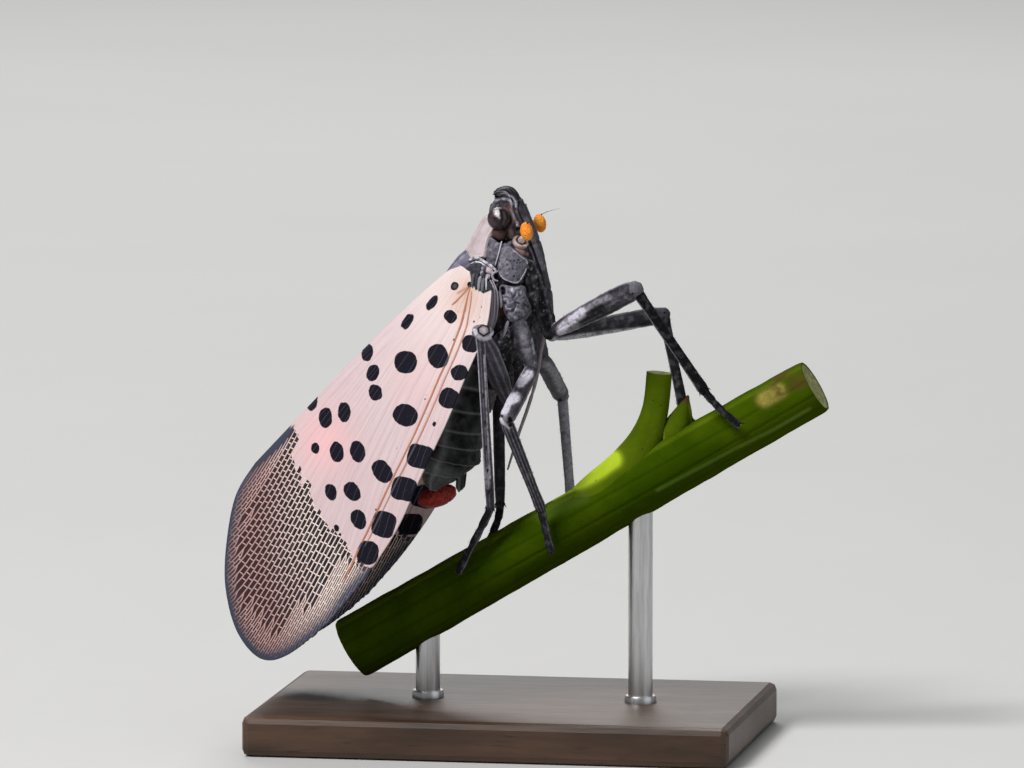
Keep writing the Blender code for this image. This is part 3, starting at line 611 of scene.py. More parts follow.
def standLooks():
    wire, feed = newFinish("baseWood", Specular_IOR_Level=0.4, Coat_Roughness=0.25)
    rings = wire.grain(0.55, 4.0, (0.16, 1.0, 1.0))
    pores = wire.grain(5.0, 2.0, (0.10, 1.4, 1.4))
    colour = wire.mix(rings.step(0.3, 0.7), (0.030, 0.016, 0.010), (0.085, 0.045, 0.026))
    colour = wire.mix(pores.step(0.58, 0.75) * 0.6, colour, (0.014, 0.008, 0.006))
    colour = wire.mix(wire.field("wear") * 0.35, colour, (0.16, 0.095, 0.06))
    feed("Base Color", colour)
    feed("Roughness", 0.32 + 0.2 * pores)
    feed("Normal", wire.bump(rings * 0.4 + pores * 0.6, 0.03, 0.5))

    wire, feed = newFinish("rodSteel", Metallic=1.0, Base_Color=(0.56, 0.56, 0.57, 1.0))
    brushed = wire.grain(9.0, 3.0, (1.0, 1.0, 0.05))
    feed("Base Color", wire.mix(brushed.step(0.3, 0.7), (0.50, 0.50, 0.51), (0.66, 0.66, 0.67)))
    feed("Roughness", 0.24 + 0.16 * brushed)
    feed("Normal", wire.bump(brushed, 0.01, 0.4))

    wire, feed = newFinish("floor", Specular_IOR_Level=0.3)
    feed("Base Color", wire.mix(wire.grain(0.02), (0.50, 0.50, 0.49), (0.54, 0.54, 0.53)))
    feed("Roughness", 0.7 + 0.1 * wire.grain(0.3))


# ---- forewings

wing = {
    # edges of the right wing's middle surface: forward, out, up
    "costalEdge": ((1.15, 2.95, 0.68), (-0.28, 3.35, -0.02), (-1.49, 3.80, -0.34),
                   (-3.41, 4.40, -0.58), (-5.66, 5.00, -0.90), (-8.35, 5.50, -1.12),
                   (-11.20, 5.80, -1.38), (-14.26, 5.70, -1.14), (-17.05, 5.20, -0.60)),
    "tipEdge": ((-13.02, 0.45, 6.86), (-14.91, 0.70, 6.88), (-17.08, 1.20, 6.08),
                (-18.91, 1.90, 4.95), (-20.33, 2.60, 3.34), (-20.70, 3.40, 1.61),
                (-19.61, 4.30, 0.44), (-17.05, 5.20, -0.60)),
    "innerEdge": ((0.95, 1.65, 2.72), (-0.63, 0.75, 3.37), (-3.40, 0.42, 4.29),
                  (-7.62, 0.40, 5.46), (-10.60, 0.40, 6.22), (-13.02, 0.45, 6.86)),
    "camber": 0.65, "rows": 260, "columns": 130,
    "lift": 0.16, "thickness": 0.15, "thinEdge": 0.05, "rimWidth": 0.35,
    "ribHeight": 0.035, "ribWidth": 0.050,
}
# Places in the side view's plane, in mm from its middle: across, height, half width, half height,
# tilt in degrees, squareness.
spots = (
    (-2.81, 4.80, 0.18, 0.22, 35, 0), (-3.92, 3.98, 0.20, 0.42, 34, 0.2),
    (-5.12, 3.07, 0.22, 0.43, 33, 0.2), (-3.01, 3.31, 0.30, 0.33, -44, 0.2),
    (-7.10, 1.55, 0.28, 0.43, 5, 0.2), (-5.22, 1.07, 0.55, 0.56, 0, 0.2),
    (-3.62, 1.36, 0.51, 0.59, -20, 0.3), (-2.05, 1.98, 0.39, 0.43, -3, 0.3),
    (-6.81, 0.55, 0.29, 0.44, 22, 0.2), (-6.70, -0.42, 0.33, 0.41, -14, 0.1),
    (-2.59, 0.56, 0.37, 0.42, 63, 0.4), (-5.23, -1.53, 0.54, 0.62, -68, 0.2),
    (-3.12, -0.69, 0.46, 0.49, 31, 0.7), (-9.14, -1.65, 0.33, 0.51, 1, 0.1),
    (-8.22, -1.37, 0.32, 0.49, 0, 0), (-9.84, -0.87, 0.30, 0.44, 1, 0.2),
    (-9.64, -3.15, 0.205, 0.275, -10, 0), (-8.59, -3.34, 0.355, 0.51, -8, 0),
    (-7.57, -3.31, 0.37, 0.54, -13, 0), (-4.52, -3.55, 0.60, 0.58, 12, 1.6),
    (-6.36, -4.29, 0.43, 0.61, -34, 0.3), (-5.31, -5.14, 0.60, 0.58, 12, 1.6),
    (-8.88, -5.30, 0.285, 0.44, -16, 0), (-7.83, -5.28, 0.37, 0.51, -33, 0.2),
    (-6.28, -6.88, 0.56, 0.63, 16, 1.4), (-7.52, -6.63, 0.355, 0.53, -22, 0),
    (-7.07, -8.28, 0.49, 0.58, 15, 0.9), (-8.60, -7.06, 0.12, 0.17, -15, 0),
    # specks
    (-1.50, 3.77, 0.06, 0.06, 0, 0), (-1.57, 3.28, 0.04, 0.04, 0, 0),
    (-1.55, 3.50, 0.03, 0.03, 0, 0), (-1.74, 3.33, 0.03, 0.03, 0, 0),
    (-1.86, 3.06, 0.04, 0.03, 0, 0), (-4.20, -1.46, 0.03, 0.03, 0, 0),
    (-4.51, -2.05, 0.03, 0.03, 0, 0), (-5.65, -3.16, 0.03, 0.03, 0, 0),
    (-7.06, -3.24, 0.03, 0.03, 0, 0),
    (-3.81, -1.95, 0.09, 0.12, 20, 0), (-4.27, -0.74, 0.05, 0.05, 0, 0),
    (-4.22, -0.54, 0.03, 0.03, 0, 0), (-6.68, -6.16, 0.05, 0.06, 0, 0),
    (-2.07, 4.88, 0.12, 0.14, 0, 0), (-2.84, 2.16, 0.04, 0.05, 0, 0),
)
spotHole = (-2.80, 4.80, 0.11)    # the first spot's grey middle: place and radius
rootLoop = ((-2.08, 4.58), (-2.50, 4.34), (-2.70, 3.95), (-2.77, 3.60), (-2.52, 3.52),
            (-2.30, 3.64), (-2.20, 3.98), (-2.14, 4.30), (-2.08, 4.58))    # pale cell by the root
rootWedge = ((-2.02, 4.86), (-2.30, 4.66), (-2.66, 4.46))    # brown streak above it
netOutline = ((-11.6, -1.4), (-10.69, -2.20), (-10.52, -2.75), (-10.70, -3.15), (-10.60, -3.82),
              (-10.44, -4.22), (-10.35, -4.65), (-10.02, -4.97), (-9.93, -5.54), (-9.60, -5.96),
              (-9.27, -6.37), (-8.95, -6.86), (-8.54, -7.35), (-8.14, -7.84), (-8.02, -8.20),
              (-7.60, -8.72), (-7.24, -9.10), (-6.4, -9.0), (-6.4, -16.0), (-17.0, -16.0),
              (-17.0, -1.4))
mainVein = ((0.03, 0.615), (0.055, 0.640), (0.125, 0.715), (0.205, 0.768), (0.30, 0.795),
            (0.40, 0.811), (0.48, 0.818), (0.56, 0.820), (0.625, 0.818), (0.695, 0.820),
            (0.80, 0.856))
wingRoot = ((-2.12, 5.60), (-1.66, 5.72), (-1.08, 5.50), (-0.92, 4.62), (-1.40, 4.40),
            (-1.72, 4.62), (-2.00, 4.85))    # dark pleated corner, in the side view's plane

wingShoulder = ((-4.2, 5.20), (-3.33, 5.52), (-2.73, 5.69), (-2.01, 5.94), (-2.0, 6.8),
                (-4.2, 6.8))    # lavender, where the shield covers the wing

fineEdge = 481
costalLine = evenPoints(wing["costalEdge"], fineEdge)
tipLine = evenPoints(wing["tipEdge"], fineEdge)
innerLine = evenPoints(wing["innerEdge"], fineEdge)
rootLine = np.linspace(innerLine[0], costalLine[0], fineEdge)


def onEdge(line, share):
    places = np.linspace(0.0, 1.0, len(line))
    return np.stack([np.interp(share, places, line[:, k]) for k in range(3)], axis=-1)


def wingSurface(u, v):    # the right wing's middle surface, blended from its four edges
    u, v = np.broadcast_arrays(np.asarray(u, float), np.asarray(v, float))
    a, b = u[..., None], v[..., None]
    point = (onEdge(innerLine, u) * (1 - b) + onEdge(costalLine, u) * b
             + onEdge(rootLine, v) * (1 - a) + onEdge(tipLine, v) * a
             - innerLine[0] * (1 - a) * (1 - b) - costalLine[0] * (1 - a) * b
             - innerLine[-1] * a * (1 - b) - costalLine[-1] * a * b)
    bulge = wing["camber"] * np.sin(math.pi * v) * np.sin(math.pi * (0.1 + 0.9 * u))
    return point + np.array((0.0, 0.769, 0.639)) * bulge[..., None]


def wingNormal(u, v):
    step = 0.004
    u0, u1 = np.clip(u - step, 0, 1), np.clip(u + step, 0, 1)
    v0, v1 = np.clip(v - step, 0, 1), np.clip(v + step, 0, 1)
    along = wingSurface(u1, v) - wingSurface(u0, v)
    across = wingSurface(u, v1) - wingSurface(u, v0)
    normal = unit(np.cross(along, across))
    return np.where(normal[..., 1:2] < 0, -normal, normal)


laneSpace = {"start": 0.68, "count": 46, "reach": 1.06, "low": -0.08, "high": 1.30}
lanePitch = laneSpace["reach"] / laneSpace["count"]
laneShift = [random.uniform(-0.20, 0.20) for _ in range(80)]
laneRows = 201


def laneSlope(u, v):    # how fast a long vein drifts across the wing as it runs to the tip
    centre = np.interp(u, (0.6, 0.8, 1.0), (0.30, 0.47, 0.62))
    share = np.clip((v - centre + 0.27) / 0.5, 0, 1)
    calm = np.interp(u, (0.0, 0.3, 0.62, 0.70), (0.30, 0.42, 0.75, 1.0))
    return (-0.06 + 0.52 * share * share * (3 - 2 * share)) * calm


def laneTable():    # places across the wing of each lane, one row for each place along it
    lanes = np.linspace(laneSpace["low"], laneSpace["high"], 139)
    table = np.zeros((laneRows, len(lanes)))
    middle = int(laneSpace["start"] * (laneRows - 1))
    table[middle] = lanes
    step = 1.0 / (laneRows - 1)
    for row in range(middle + 1, laneRows):
        table[row] = table[row - 1] + laneSlope(row * step, table[row - 1]) * step
    for row in range(middle - 1, -1, -1):
        table[row] = table[row + 1] - laneSlope(row * step, table[row + 1]) * step
    return lanes, table


lanes, laneAcross = laneTable()


def laneOf(u, v):    # which long vein a point of the wing lies on, as its place across at the start
    rows = np.clip((np.asarray(u) * (laneRows - 1)).round().astype(int), 0, laneRows - 1)
    made = np.zeros(np.shape(v))
    for row in np.unique(rows):
        here = rows == row
        made[here] = np.interp(np.asarray(v)[here], laneAcross[row], lanes)
    return made


def alongLane(lane, u):
    table = np.array([np.interp(lane, lanes, row) for row in laneAcross])
    return np.interp(u, np.linspace(0, 1, laneRows), table)


def insideDistance(x, y, outline):    # signed distance to a closed outline, inside positive
    outline = np.asarray(outline)
    nearest = np.full(x.shape, 1e9)
    inside = np.zeros(x.shape, bool)
    for (x0, y0), (x1, y1) in zip(outline, np.roll(outline, -1, axis=0)):
        dx, dy = x1 - x0, y1 - y0
        share = np.clip(((x - x0) * dx + (y - y0) * dy) / (dx * dx + dy * dy), 0, 1)
        nearest = np.minimum(nearest, np.hypot(x - x0 - share * dx, y - y0 - share * dy))
        crosses = (y0 > y) != (y1 > y)
        inside ^= crosses & (x < dx * (y - y0) / (dy if dy else 1e-9) + x0)
    return np.where(inside, nearest, -nearest)


marginPoints = np.vstack((tipLine[::3], innerLine[::6], costalLine[::3]))
tipPoints = tipLine[::3]


def nearestTo(points, line):
    flat = points.reshape(-1, 3)
    made = np.full(len(flat), 1e9)
    for spot in line:
        made = np.minimum(made, np.linalg.norm(flat - spot, axis=1))
    return made.reshape(points.shape[:-1])


# The net's long veins run nearly straight and flatten towards the tip: place across in the side
# view's plane with the slope there. Odd veins fork off in between close to the margin.
netLanes = {"slopes": ((-20.0, 0.84), (-14.2, 0.90), (-13.5, 1.04), (-12.8, 1.43), (-11.7, 1.70),
                       (-10.5, 1.88), (-4.0, 1.88)),
            "pitch": 0.203, "lean": 0.469, "low": -49, "high": -5, "fork": (1.2, 2.1),
            "forkLeft": (0.7, 1.5), "leftLane": -30, "cells": ((-46, 0.30), (-34, 0.38), (-16, 0.58),
                                                              (-8, 0.70))}
netPlaces = np.linspace(-20.0, -4.0, 321)
netRise = np.cumsum(np.interp(netPlaces, *np.transpose(netLanes["slopes"]))) * 0.05
netRise -= np.interp(-10.5, netPlaces, netRise) + 10.5 * 1.88
netRows = np.linspace(0.45, 0.992, 260)
netAcross = np.linspace(0.0, 1.0, 161)


def netLane(across, height):    # number of the long vein through a place
    rise = np.interp(across, netPlaces, netRise)
    return netLanes["lean"] * (rise - height) / netLanes["pitch"]


def gapShift(lane):    # how far the net's edge steps between two long veins
    gap = np.floor(np.asarray(lane)).astype(int) - netLanes["low"]
    return np.array(laneShift)[np.clip(gap, 0, len(laneShift) - 1)]


def netField(across, height):    # distance into the net, its edge stepped from vein to vein
    return insideDistance(across, height, netOutline) + gapShift(netLane(across, height))


def wingFields(u, v):
    points = wingSurface(u, v) + wingNormal(u, v) * wing["lift"]
    across, height = toView(points)
    spot = np.full(across.shape, -5.0)
    for x, y, halfWide, halfHigh, tilt, square in spots:
        turn = math.radians(tilt)
        dx, dy = across - x, height - y
        right = (dx * math.cos(turn) - dy * math.sin(turn)) / halfWide
        rise = (dx * math.sin(turn) + dy * math.cos(turn)) / halfHigh
        power = 2.0 + square
        reach = (np.abs(right) ** power + np.abs(rise) ** power) ** (1 / power)
        spot = np.maximum(spot, (1.0 - reach) * min(halfWide, halfHigh))
    hole = np.hypot(across - spotHole[0], height - spotHole[1]) / spotHole[2]
    lane = laneOf(u, v)
    net = netField(across, height)
    blush = np.exp(-(((across + 9.2) / 1.3) ** 2 + ((height + 2.9) / 1.6) ** 2))
    blush += 0.30 * np.exp(-(((across + 4.6) / 1.2) ** 2 + ((height - 0.2) / 1.6) ** 2))
    warm = 0.8 * np.exp(-(((across + 2.3) / 0.9) ** 2 + ((height - 4.1) / 1.1) ** 2))
    warm += 0.9 * np.exp(-(((across + 2.17) / 0.22) ** 2 + ((height - 4.60) / 0.42) ** 2))
    tip = nearestTo(points, tipPoints)
    inner = nearestTo(points, innerLine[::6])
    costa = nearestTo(points, costalLine[::3])
    margin = np.minimum(tip, np.minimum(inner, costa))
    band = 0.27 + 0.40 * np.exp(-((across + 11.35) ** 2 + (height + 2.75) ** 2) / 1.0)
    band += 0.10 * np.exp(-((across + 12.6) ** 2 + (height + 12.6) ** 2) / 5.0)
    costal = 0.42 * np.exp(-(((across + 7.9) / 1.1) ** 2 + ((height + 10.2) / 1.6) ** 2))
    costal += 0.22 * np.exp(-(((across + 9.4) / 1.6) ** 2 + ((height + 11.8) / 1.2) ** 2))
    edge = np.minimum(np.minimum(tip, inner), costa + band - costal - 0.02)
    brown = np.clip((-across - 9.7 + 0.2 * np.clip(-height - 8.0, 0, 4)) / 2.6, 0, 1)
    brown = np.clip(brown * np.clip(1.25 - tip / 9.0, 0.2, 1), 0, 1)
    loop = farFromLine(np.stack((across, height), axis=-1), rootLoop)
    return {"spot": spot, "hole": np.exp(-hole ** 4), "loop": np.exp(-(loop / 0.045) ** 2),
            "wedge": np.exp(-(farFromLine(np.stack((across, height), axis=-1), rootWedge)
                              / 0.06) ** 2), "net": net, "blush": np.clip(blush, 0, 1), "edge": edge,
            "margin": margin, "costa": costa, "band": band, "warm": np.clip(warm, 0, 1),
            "brown": brown, "root": insideDistance(across, height, wingRoot),
            "shoulder": insideDistance(across, height, wingShoulder), "lane": lane, "along": u,
            "cellLane": netLane(across, height), "cellAlong": -2.0 * (0.469 * across + 0.883 * height)}


def addCrossVeins(paths, low, high, rows, cell, offset):
    if len(rows) < 4:
        return
    v, x, y = low
    vHigh, xHigh, yHigh = high
    along = -(0.469 * x[rows] + 0.883 * y[rows])
    first, last = along.min() / cell - offset, along.max() / cell - offset
    for number in range(math.ceil(first), math.floor(last) + 1):
        wanted = cell * (number + offset + random.uniform(-0.13, 0.13))
        here = rows[np.argmin(np.abs(along - wanted))]
        away = np.hypot(xHigh - x[here], yHigh - y[here])
        if np.isnan(away).all() or np.nanmin(away) > 0.36:
            continue
        there = np.nanargmin(away)
        ends = np.linspace(0.0, 1.0, 4)
        paths.append((netRows[here] + (netRows[there] - netRows[here]) * ends,
                      v[here] + (vHigh[there] - v[here]) * ends, 0.8, 0.0, 1.0))


def netLines():    # places across and in the side view of each long vein, empty where it isn't
    u, v = np.meshgrid(netRows, netAcross, indexing="ij")
    table = netLane(*toView(wingSurface(u, v) + wingNormal(u, v) * wing["lift"]))
    lines = {}
    for half in range(2 * netLanes["low"], 2 * netLanes["high"] + 1):
        lane = half / 2
        v = np.array([np.interp(lane, row, netAcross, left=np.nan, right=np.nan) for row in table])
        filled = np.nan_to_num(v, nan=0.5)
        points = wingSurface(netRows, filled)
        x, y = toView(points + wingNormal(netRows, filled) * wing["lift"])
        depth = insideDistance(x, y, netOutline)
        here = ~np.isnan(v) & (filled > 0.010) & (filled < 0.988)
        if half % 2:
            reach = random.uniform(*netLanes["forkLeft" if lane < netLanes["leftLane"] else "fork"])
            here &= (nearestTo(points, marginPoints) < reach) & (depth + gapShift(lane) > 0.12)
        else:
            here &= depth + max(gapShift(lane), gapShift(lane - 0.5)) > -0.02
        rows = np.flatnonzero(here)
        if len(rows) < 8:
            continue
        runs = np.split(rows, np.flatnonzero(np.diff(rows) > 1) + 1)
        run = max(runs, key=len)
        if half % 2 and half - 1 in lines:    # leaves its neighbour in a short bend
            near = lines[half - 1][0][run]
            share = np.clip(np.arange(len(run)) / 7.0, 0, 1)
            v[run] = np.where(np.isnan(near), v[run], near + (v[run] - near) * share)
        keep = np.full(len(v), np.nan)
        keep[run] = 0.0
        lines[half] = (v + keep, x + keep, y + keep)
    return lines


def netVeins(paths):
    lines = netLines()
    offset = 0.0
    for half, (v, x, y) in lines.items():
        rows = np.flatnonzero(~np.isnan(v))
        paths.append((netRows[rows], v[rows], 0.9, 0.0, 1.0))
    for half in sorted(lines):
        if half % 2:
            continue
        cell = float(np.interp(half / 2, *np.transpose(netLanes["cells"])))
        offset += random.choice((0.0, 0.0, 0.5)) + random.uniform(-0.10, 0.10)
        low, between, high = [lines.get(half + k) for k in range(3)]
        rows = np.flatnonzero(~np.isnan(low[0]))
        if between is not None:
            forked = ~np.isnan(between[0])
            early = rows[~forked[rows]]
            late = rows[forked[rows]][9:]
            addCrossVeins(paths, low, between, late, cell * 1.25, offset + 0.5)
            if high is not None:
                addCrossVeins(paths, between, high, np.flatnonzero(forked)[9:], cell * 1.25, offset)
            rows = early
        if high is not None:
            addCrossVeins(paths, low, high, rows, cell, offset)


def veinPaths():    # each vein: along, across, width, strength of its brown, and if the net's
    paths = []
    start = np.array(mainVein)
    u = np.linspace(0.03, 0.80, 90)
    v = np.interp(u, start[:, 0], start[:, 1])
    paths.append((u, v, 1.5, 1.0, -1.0))
    apart = np.interp(u, (0.02, 0.06, 0.13, 0.21, 0.7), (0.012, 0.066, 0.068, 0.055, 0.030))
    paths.append((u[1:78], (v + apart)[1:78], 1.2, 0.8, -1.0))
    paths.append((np.linspace(0.028, 0.10, 12), np.linspace(0.60, 0.50, 12), 1.2, 0.8, -1.0))
    for index in range(0, laneSpace["count"] * 2, 4):
        lane = (index / 2 + 0.5) * lanePitch
        u = np.linspace(0.02 if index % 8 == 0 else 0.36 + 0.06 * math.sin(index * 3.7), 0.90, 220)
        v = alongLane(lane, u) + 0.0016 * np.sin(u * 110.0 + index * 2.4)
        inside = (v > 0.010) & (v < 0.988)
        u, v = u[inside], v[inside]
        if len(u) < 8:
            continue
        cream = netField(*toView(wingSurface(u, v) + wingNormal(u, v) * wing["lift"])) <= -0.02
        if cream.sum() > 8:
            paths.append((u[cream], v[cream], 0.55, 0.0, -1.0))
    netVeins(paths)
    return paths


def addRib(u, v, width, strong, netted, lift):
    points = wingSurface(u, v)
    normals = wingNormal(u, v)
    side = unit(np.cross(unit(np.gradient(points, axis=0)), normals))
    taper = np.interp(np.linspace(0, 1, len(u)), (0, 0.08, 0.92, 1), (0.6, 1, 1, 0.55))
    half = (wing["ribWidth"] * width * taper)[:, None]
    high = wing["ribHeight"] * min(1.2, width ** 2.5)
    top = lift[:, None] + high * taper[:, None]
    low = lift[:, None] - wing["thickness"] - 0.02
    section = ((-1.0, lift[:, None] - 0.02), (-0.5, top), (0.5, top), (1.0, lift[:, None] - 0.02),
               (0.5, low), (-0.5, low))
    grid = np.stack([points + normals * level + side * half * place
                     for place, level in section], axis=1)
    fields = wingFields(u, v)
    fields["net"] = np.full(len(u), netted)
    wide = {key: np.repeat(np.asarray(value), len(section)) for key, value in fields.items()}
    return grid, wide


def rimLift(edge):    # the membrane thins towards its edge
    share = np.clip(edge / wing["rimWidth"], 0, 1)
    ease = share * share * (3 - 2 * share)
    return wing["lift"] - (wing["thickness"] - wing["thinEdge"]) / 2 * (1 - ease), ease


def makeForewings():
    rows, columns = wing["rows"], wing["columns"]
    u = np.linspace(0, 1, rows + 1)[:, None] + np.zeros((1, columns + 1))
    v = np.linspace(0, 1, columns + 1)[None, :] + np.zeros((rows + 1, 1))
    middle = wingSurface(u, v)
    normals = wingNormal(u, v)
    fields = wingFields(u, v)
    realEdge = np.minimum(nearestTo(middle, marginPoints), nearestTo(middle, innerLine[::6]))
    lift, ease = rimLift(realEdge)
    pleat = 0.007 * np.sin(fields["lane"] * laneSpace["count"] * 2 * math.pi / 4.0) * ease
    pleat *= np.clip(-fields["net"] / 0.4, 0, 1)
    thick = wing["thinEdge"] + (wing["thickness"] - wing["thinEdge"]) * ease
    outer = middle + normals * (lift + pleat)[..., None]
    inner = middle + normals * (lift + pleat - thick)[..., None]
    rim = [(0, k) for k in range(columns)] + [(k, columns) for k in range(rows)]
    rim += [(rows, k) for k in range(columns, 0, -1)] + [(k, 0) for k in range(rows, 0, -1)]
    rim = [row * (columns + 1) + column for row, column in rim]
    size = (rows + 1) * (columns + 1)
    faces = gridFaces(rows + 1, columns + 1)
    both = faces + [[corner + size for corner in face[::-1]] for face in faces]
    both += [[a, b, b + size, a + size] for a, b in zip(rim, rim[1:] + rim[:1])]
    doubled = {key: np.tile(np.asarray(value).reshape(-1), 2) for key, value in fields.items()}
    ribs = []
    for pathU, pathV, width, strong, netted in veinPaths():
        edge = nearestTo(wingSurface(pathU, pathV), marginPoints)
        level, _ = rimLift(edge)
        ribs.append((*addRib(pathU, pathV, width, strong, netted, level), strong))
    for name, sign in (("left", 1.0), ("right", -1.0)):
        flip = np.array((1.0, sign, 1.0))
        membrane = Shape()
        membrane.add(np.vstack((outer.reshape(-1, 3), inner.reshape(-1, 3))) * flip, both, **doubled)
        membrane.build("forewing." + name, "forewing", ["forewing_" + name])
        veins = Shape()
        for grid, wide, strong in ribs:
            veins.grid(grid * flip, True, True, rib=1.0, strong=strong, **wide)
        veins.build("forewingVeins." + name, "forewing", ())
        print("forewing", name, len(both), "faces and", len(ribs), "veins")


# ---- hindwings, folded flat under the forewings

hindwing = {"along": (0.10, 0.80), "across": (0.05, 0.72), "depth": -0.80, "thickness": 0.10,
            "rows": 90, "columns": 60, "folds": 9, "foldDepth": 0.07, "clear": 0.16}


def makeHindwings():
    rows, columns = hindwing["rows"], hindwing["columns"]
    u = np.linspace(*hindwing["along"], rows)[:, None] + np.zeros((1, columns))
    v = np.linspace(*hindwing["across"], columns)[None, :] + np.zeros((rows, 1))
    ribs = np.abs(np.sin(v * math.pi * hindwing["folds"])) ** 10
    fold = hindwing["foldDepth"] * np.sin(v * math.pi * 2 * hindwing["folds"])
    middle = wingSurface(u, v) + wingNormal(u, v) * (hindwing["depth"] + fold)[..., None]
    normals = gridNormals(middle)
    normals = np.where(normals[..., 1:2] < 0, -normals, normals)
    half = (hindwing["thickness"] / 2 + 0.02 * ribs)[..., None]
    outer, inner = middle + normals * half, middle - normals * half
    for grid in (outer, inner):
        grid[..., 1] = np.maximum(grid[..., 1], hindwing["clear"])
    size = rows * columns
    faces = gridFaces(rows, columns)
    both = faces + [[corner + size for corner in face[::-1]] for face in faces]
    rim = [k for k in range(columns - 1)] + [k * columns + columns - 1 for k in range(rows - 1)]
    rim += [(rows - 1) * columns + k for k in range(columns - 1, 0, -1)]
    rim += [k * columns for k in range(rows - 1, 0, -1)]
    both += [[a, b, b + size, a + size] for a, b in zip(rim, rim[1:] + rim[:1])]
    for name, sign in (("left", 1.0), ("right", -1.0)):
        shape = Shape()
        points = np.vstack((outer.reshape(-1, 3), inner.reshape(-1, 3))) * (1.0, sign, 1.0)
        shape.add(points, both, along=np.tile(u.reshape(-1), 2), across=np.tile(v.reshape(-1), 2),
                  rib=np.tile(ribs.reshape(-1), 2))
        shape.build("hindwing." + name, "hindwing", ["hindwing_" + name])
    print("hindwings made")


# ---- thorax, its plates and the pronotum

thorax = {
    # forward, up, half height, half width
    "sections": ((3.30, 0.72, 0.90, 1.45), (2.60, 0.58, 1.16, 1.95), (1.80, 0.45, 1.50, 2.15),
                 (1.15, 0.38, 1.75, 2.20), (0.60, 0.48, 2.18, 2.20), (-0.60, 0.40, 2.15, 2.20),
                 (-1.80, 0.25, 2.10, 2.20), (-2.70, 0.10, 2.05, 2.20), (-3.05, 0.0, 1.9, 2.05)),
    "sides": 120, "steps": 14, "wrinkle": 0.07, "wrinkleScale": 1.5,
    "marks": (("pink", 0.9, 0.09, ((0.20, 6.56), (0.50, 6.42), (0.72, 6.34))),
              ("cheek", 0.7, 0.08, ((0.62, 6.20), (0.86, 6.05)))),
}
thoraxRows = smoothRows(thorax["sections"], 4)[::-1]


def thoraxOut(forward, up):    # how far out the side of the thorax is
    centre, high, wide = [np.interp(forward, thoraxRows[:, 0], thoraxRows[:, k]) for k in (1, 2, 3)]
    share = np.clip(1.0 - ((up - centre) / high) ** 2, 0.05, 1.0)
    return wide * np.sqrt(share)


def loftGrid(sections, sides, steps):
    rows = smoothRows(sections, steps)
    angles = np.linspace(0, 2 * math.pi, sides, endpoint=False)
    grid = np.zeros((len(rows), sides, 3))
    grid[..., 0] = rows[:, 0:1]
    grid[..., 1] = rows[:, 3:4] * np.cos(angles)
    grid[..., 2] = rows[:, 1:2] + rows[:, 2:3] * np.sin(angles)
    return grid, rows, angles


def makeThorax():
    grid, rows, angles = loftGrid(thorax["sections"], thorax["sides"], thorax["steps"])
    normals = gridNormals(grid, True)
    outward = np.sign(np.sum(normals * (grid - grid.mean(axis=1, keepdims=True)), axis=-1))
    normals = normals * outward[..., None]
    folds = creases(grid, thorax["wrinkleScale"])
    small = wobble(grid, 4.0, 5.0)
    lift = -thorax["wrinkle"] * folds + 0.03 * small
    belly = np.exp(-((np.sin(angles) + 1.0) / 0.25) ** 2)
    lift = lift - 0.12 * belly[None, :] * np.ones((len(rows), 1))
    hollow = np.exp(-(((grid[..., 0] - 0.05) / 0.45) ** 2 + ((grid[..., 2] + 0.20) / 0.30) ** 2))
    lift = lift - 0.25 * hollow
    grid = grid + normals * lift[..., None]
    shape = Shape()
    fields = {"bloom": np.clip(0.5 * small - 0.1, 0, 0.3).reshape(-1), "tone": 0.10,
              # painted shade: dark in the creases of the wrinkles
              "pit": (folds ** 3).reshape(-1) * 0.8,
              "cheek": np.clip(hollow * 1.2, 0, 1).reshape(-1)}
    near = grid.copy()
    near[..., 1] = -np.abs(near[..., 1])
    markFields(toWorld(near.reshape(-1, 3)).reshape(near.shape), thorax["marks"], fields)
    shape.grid(grid, True, True, **fields)
    for side in (1.0, -1.0):
        for plate in sidePlates:
            addPlate(shape, plate, side)
        flip = np.array((1.0, side, 1.0))
        for rod in sideRods:
            path = smoothRows(rod["path"], 6) * flip
            share = np.linspace(0, 1, len(path))
            radii = rod["radius"] * np.interp(share, (0, 0.2, 0.8, 1), (0.7, 1.0, 0.9, 0.6))
            addTube(shape, path, radii, 14, tone=rod["tone"], bloom=rod["bloom"])
    shape.build("thoraxBody", "chitin", ["thorax"])
    print("thorax made")


sideRods = (    # narrow pieces between the plates
    {"path": ((-0.22, 2.24, -0.79), (-0.57, 2.26, -0.87), (-0.93, 2.24, -0.93)), "radius": 0.09,
     "tone": 0.9, "bloom": 0.35},
    {"path": ((0.88, 2.42, 0.28), (0.64, 2.50, 0.04), (0.30, 2.50, -0.16)), "radius": 0.09,
     "tone": 1.0, "bloom": 0.35},
    {"path": ((1.74, 2.42, 0.84), (1.56, 2.50, 0.96), (1.42, 2.50, 0.94), (1.30, 2.50, 0.78),
              (1.33, 2.46, 0.60)), "radius": 0.06, "tone": 0.9, "bloom": 0.5},
    {"path": ((1.66, 2.28, -0.50), (1.30, 2.30, -0.98), (0.95, 2.10, -1.40)), "radius": 0.07,
     "tone": 0.5, "bloom": 0.0},
    {"path": ((3.00, 1.80, 1.43), (2.46, 1.84, 1.27), (1.83, 1.88, 1.13)), "radius": 0.045,
     "tone": 1.0, "bloom": 0.8},
)


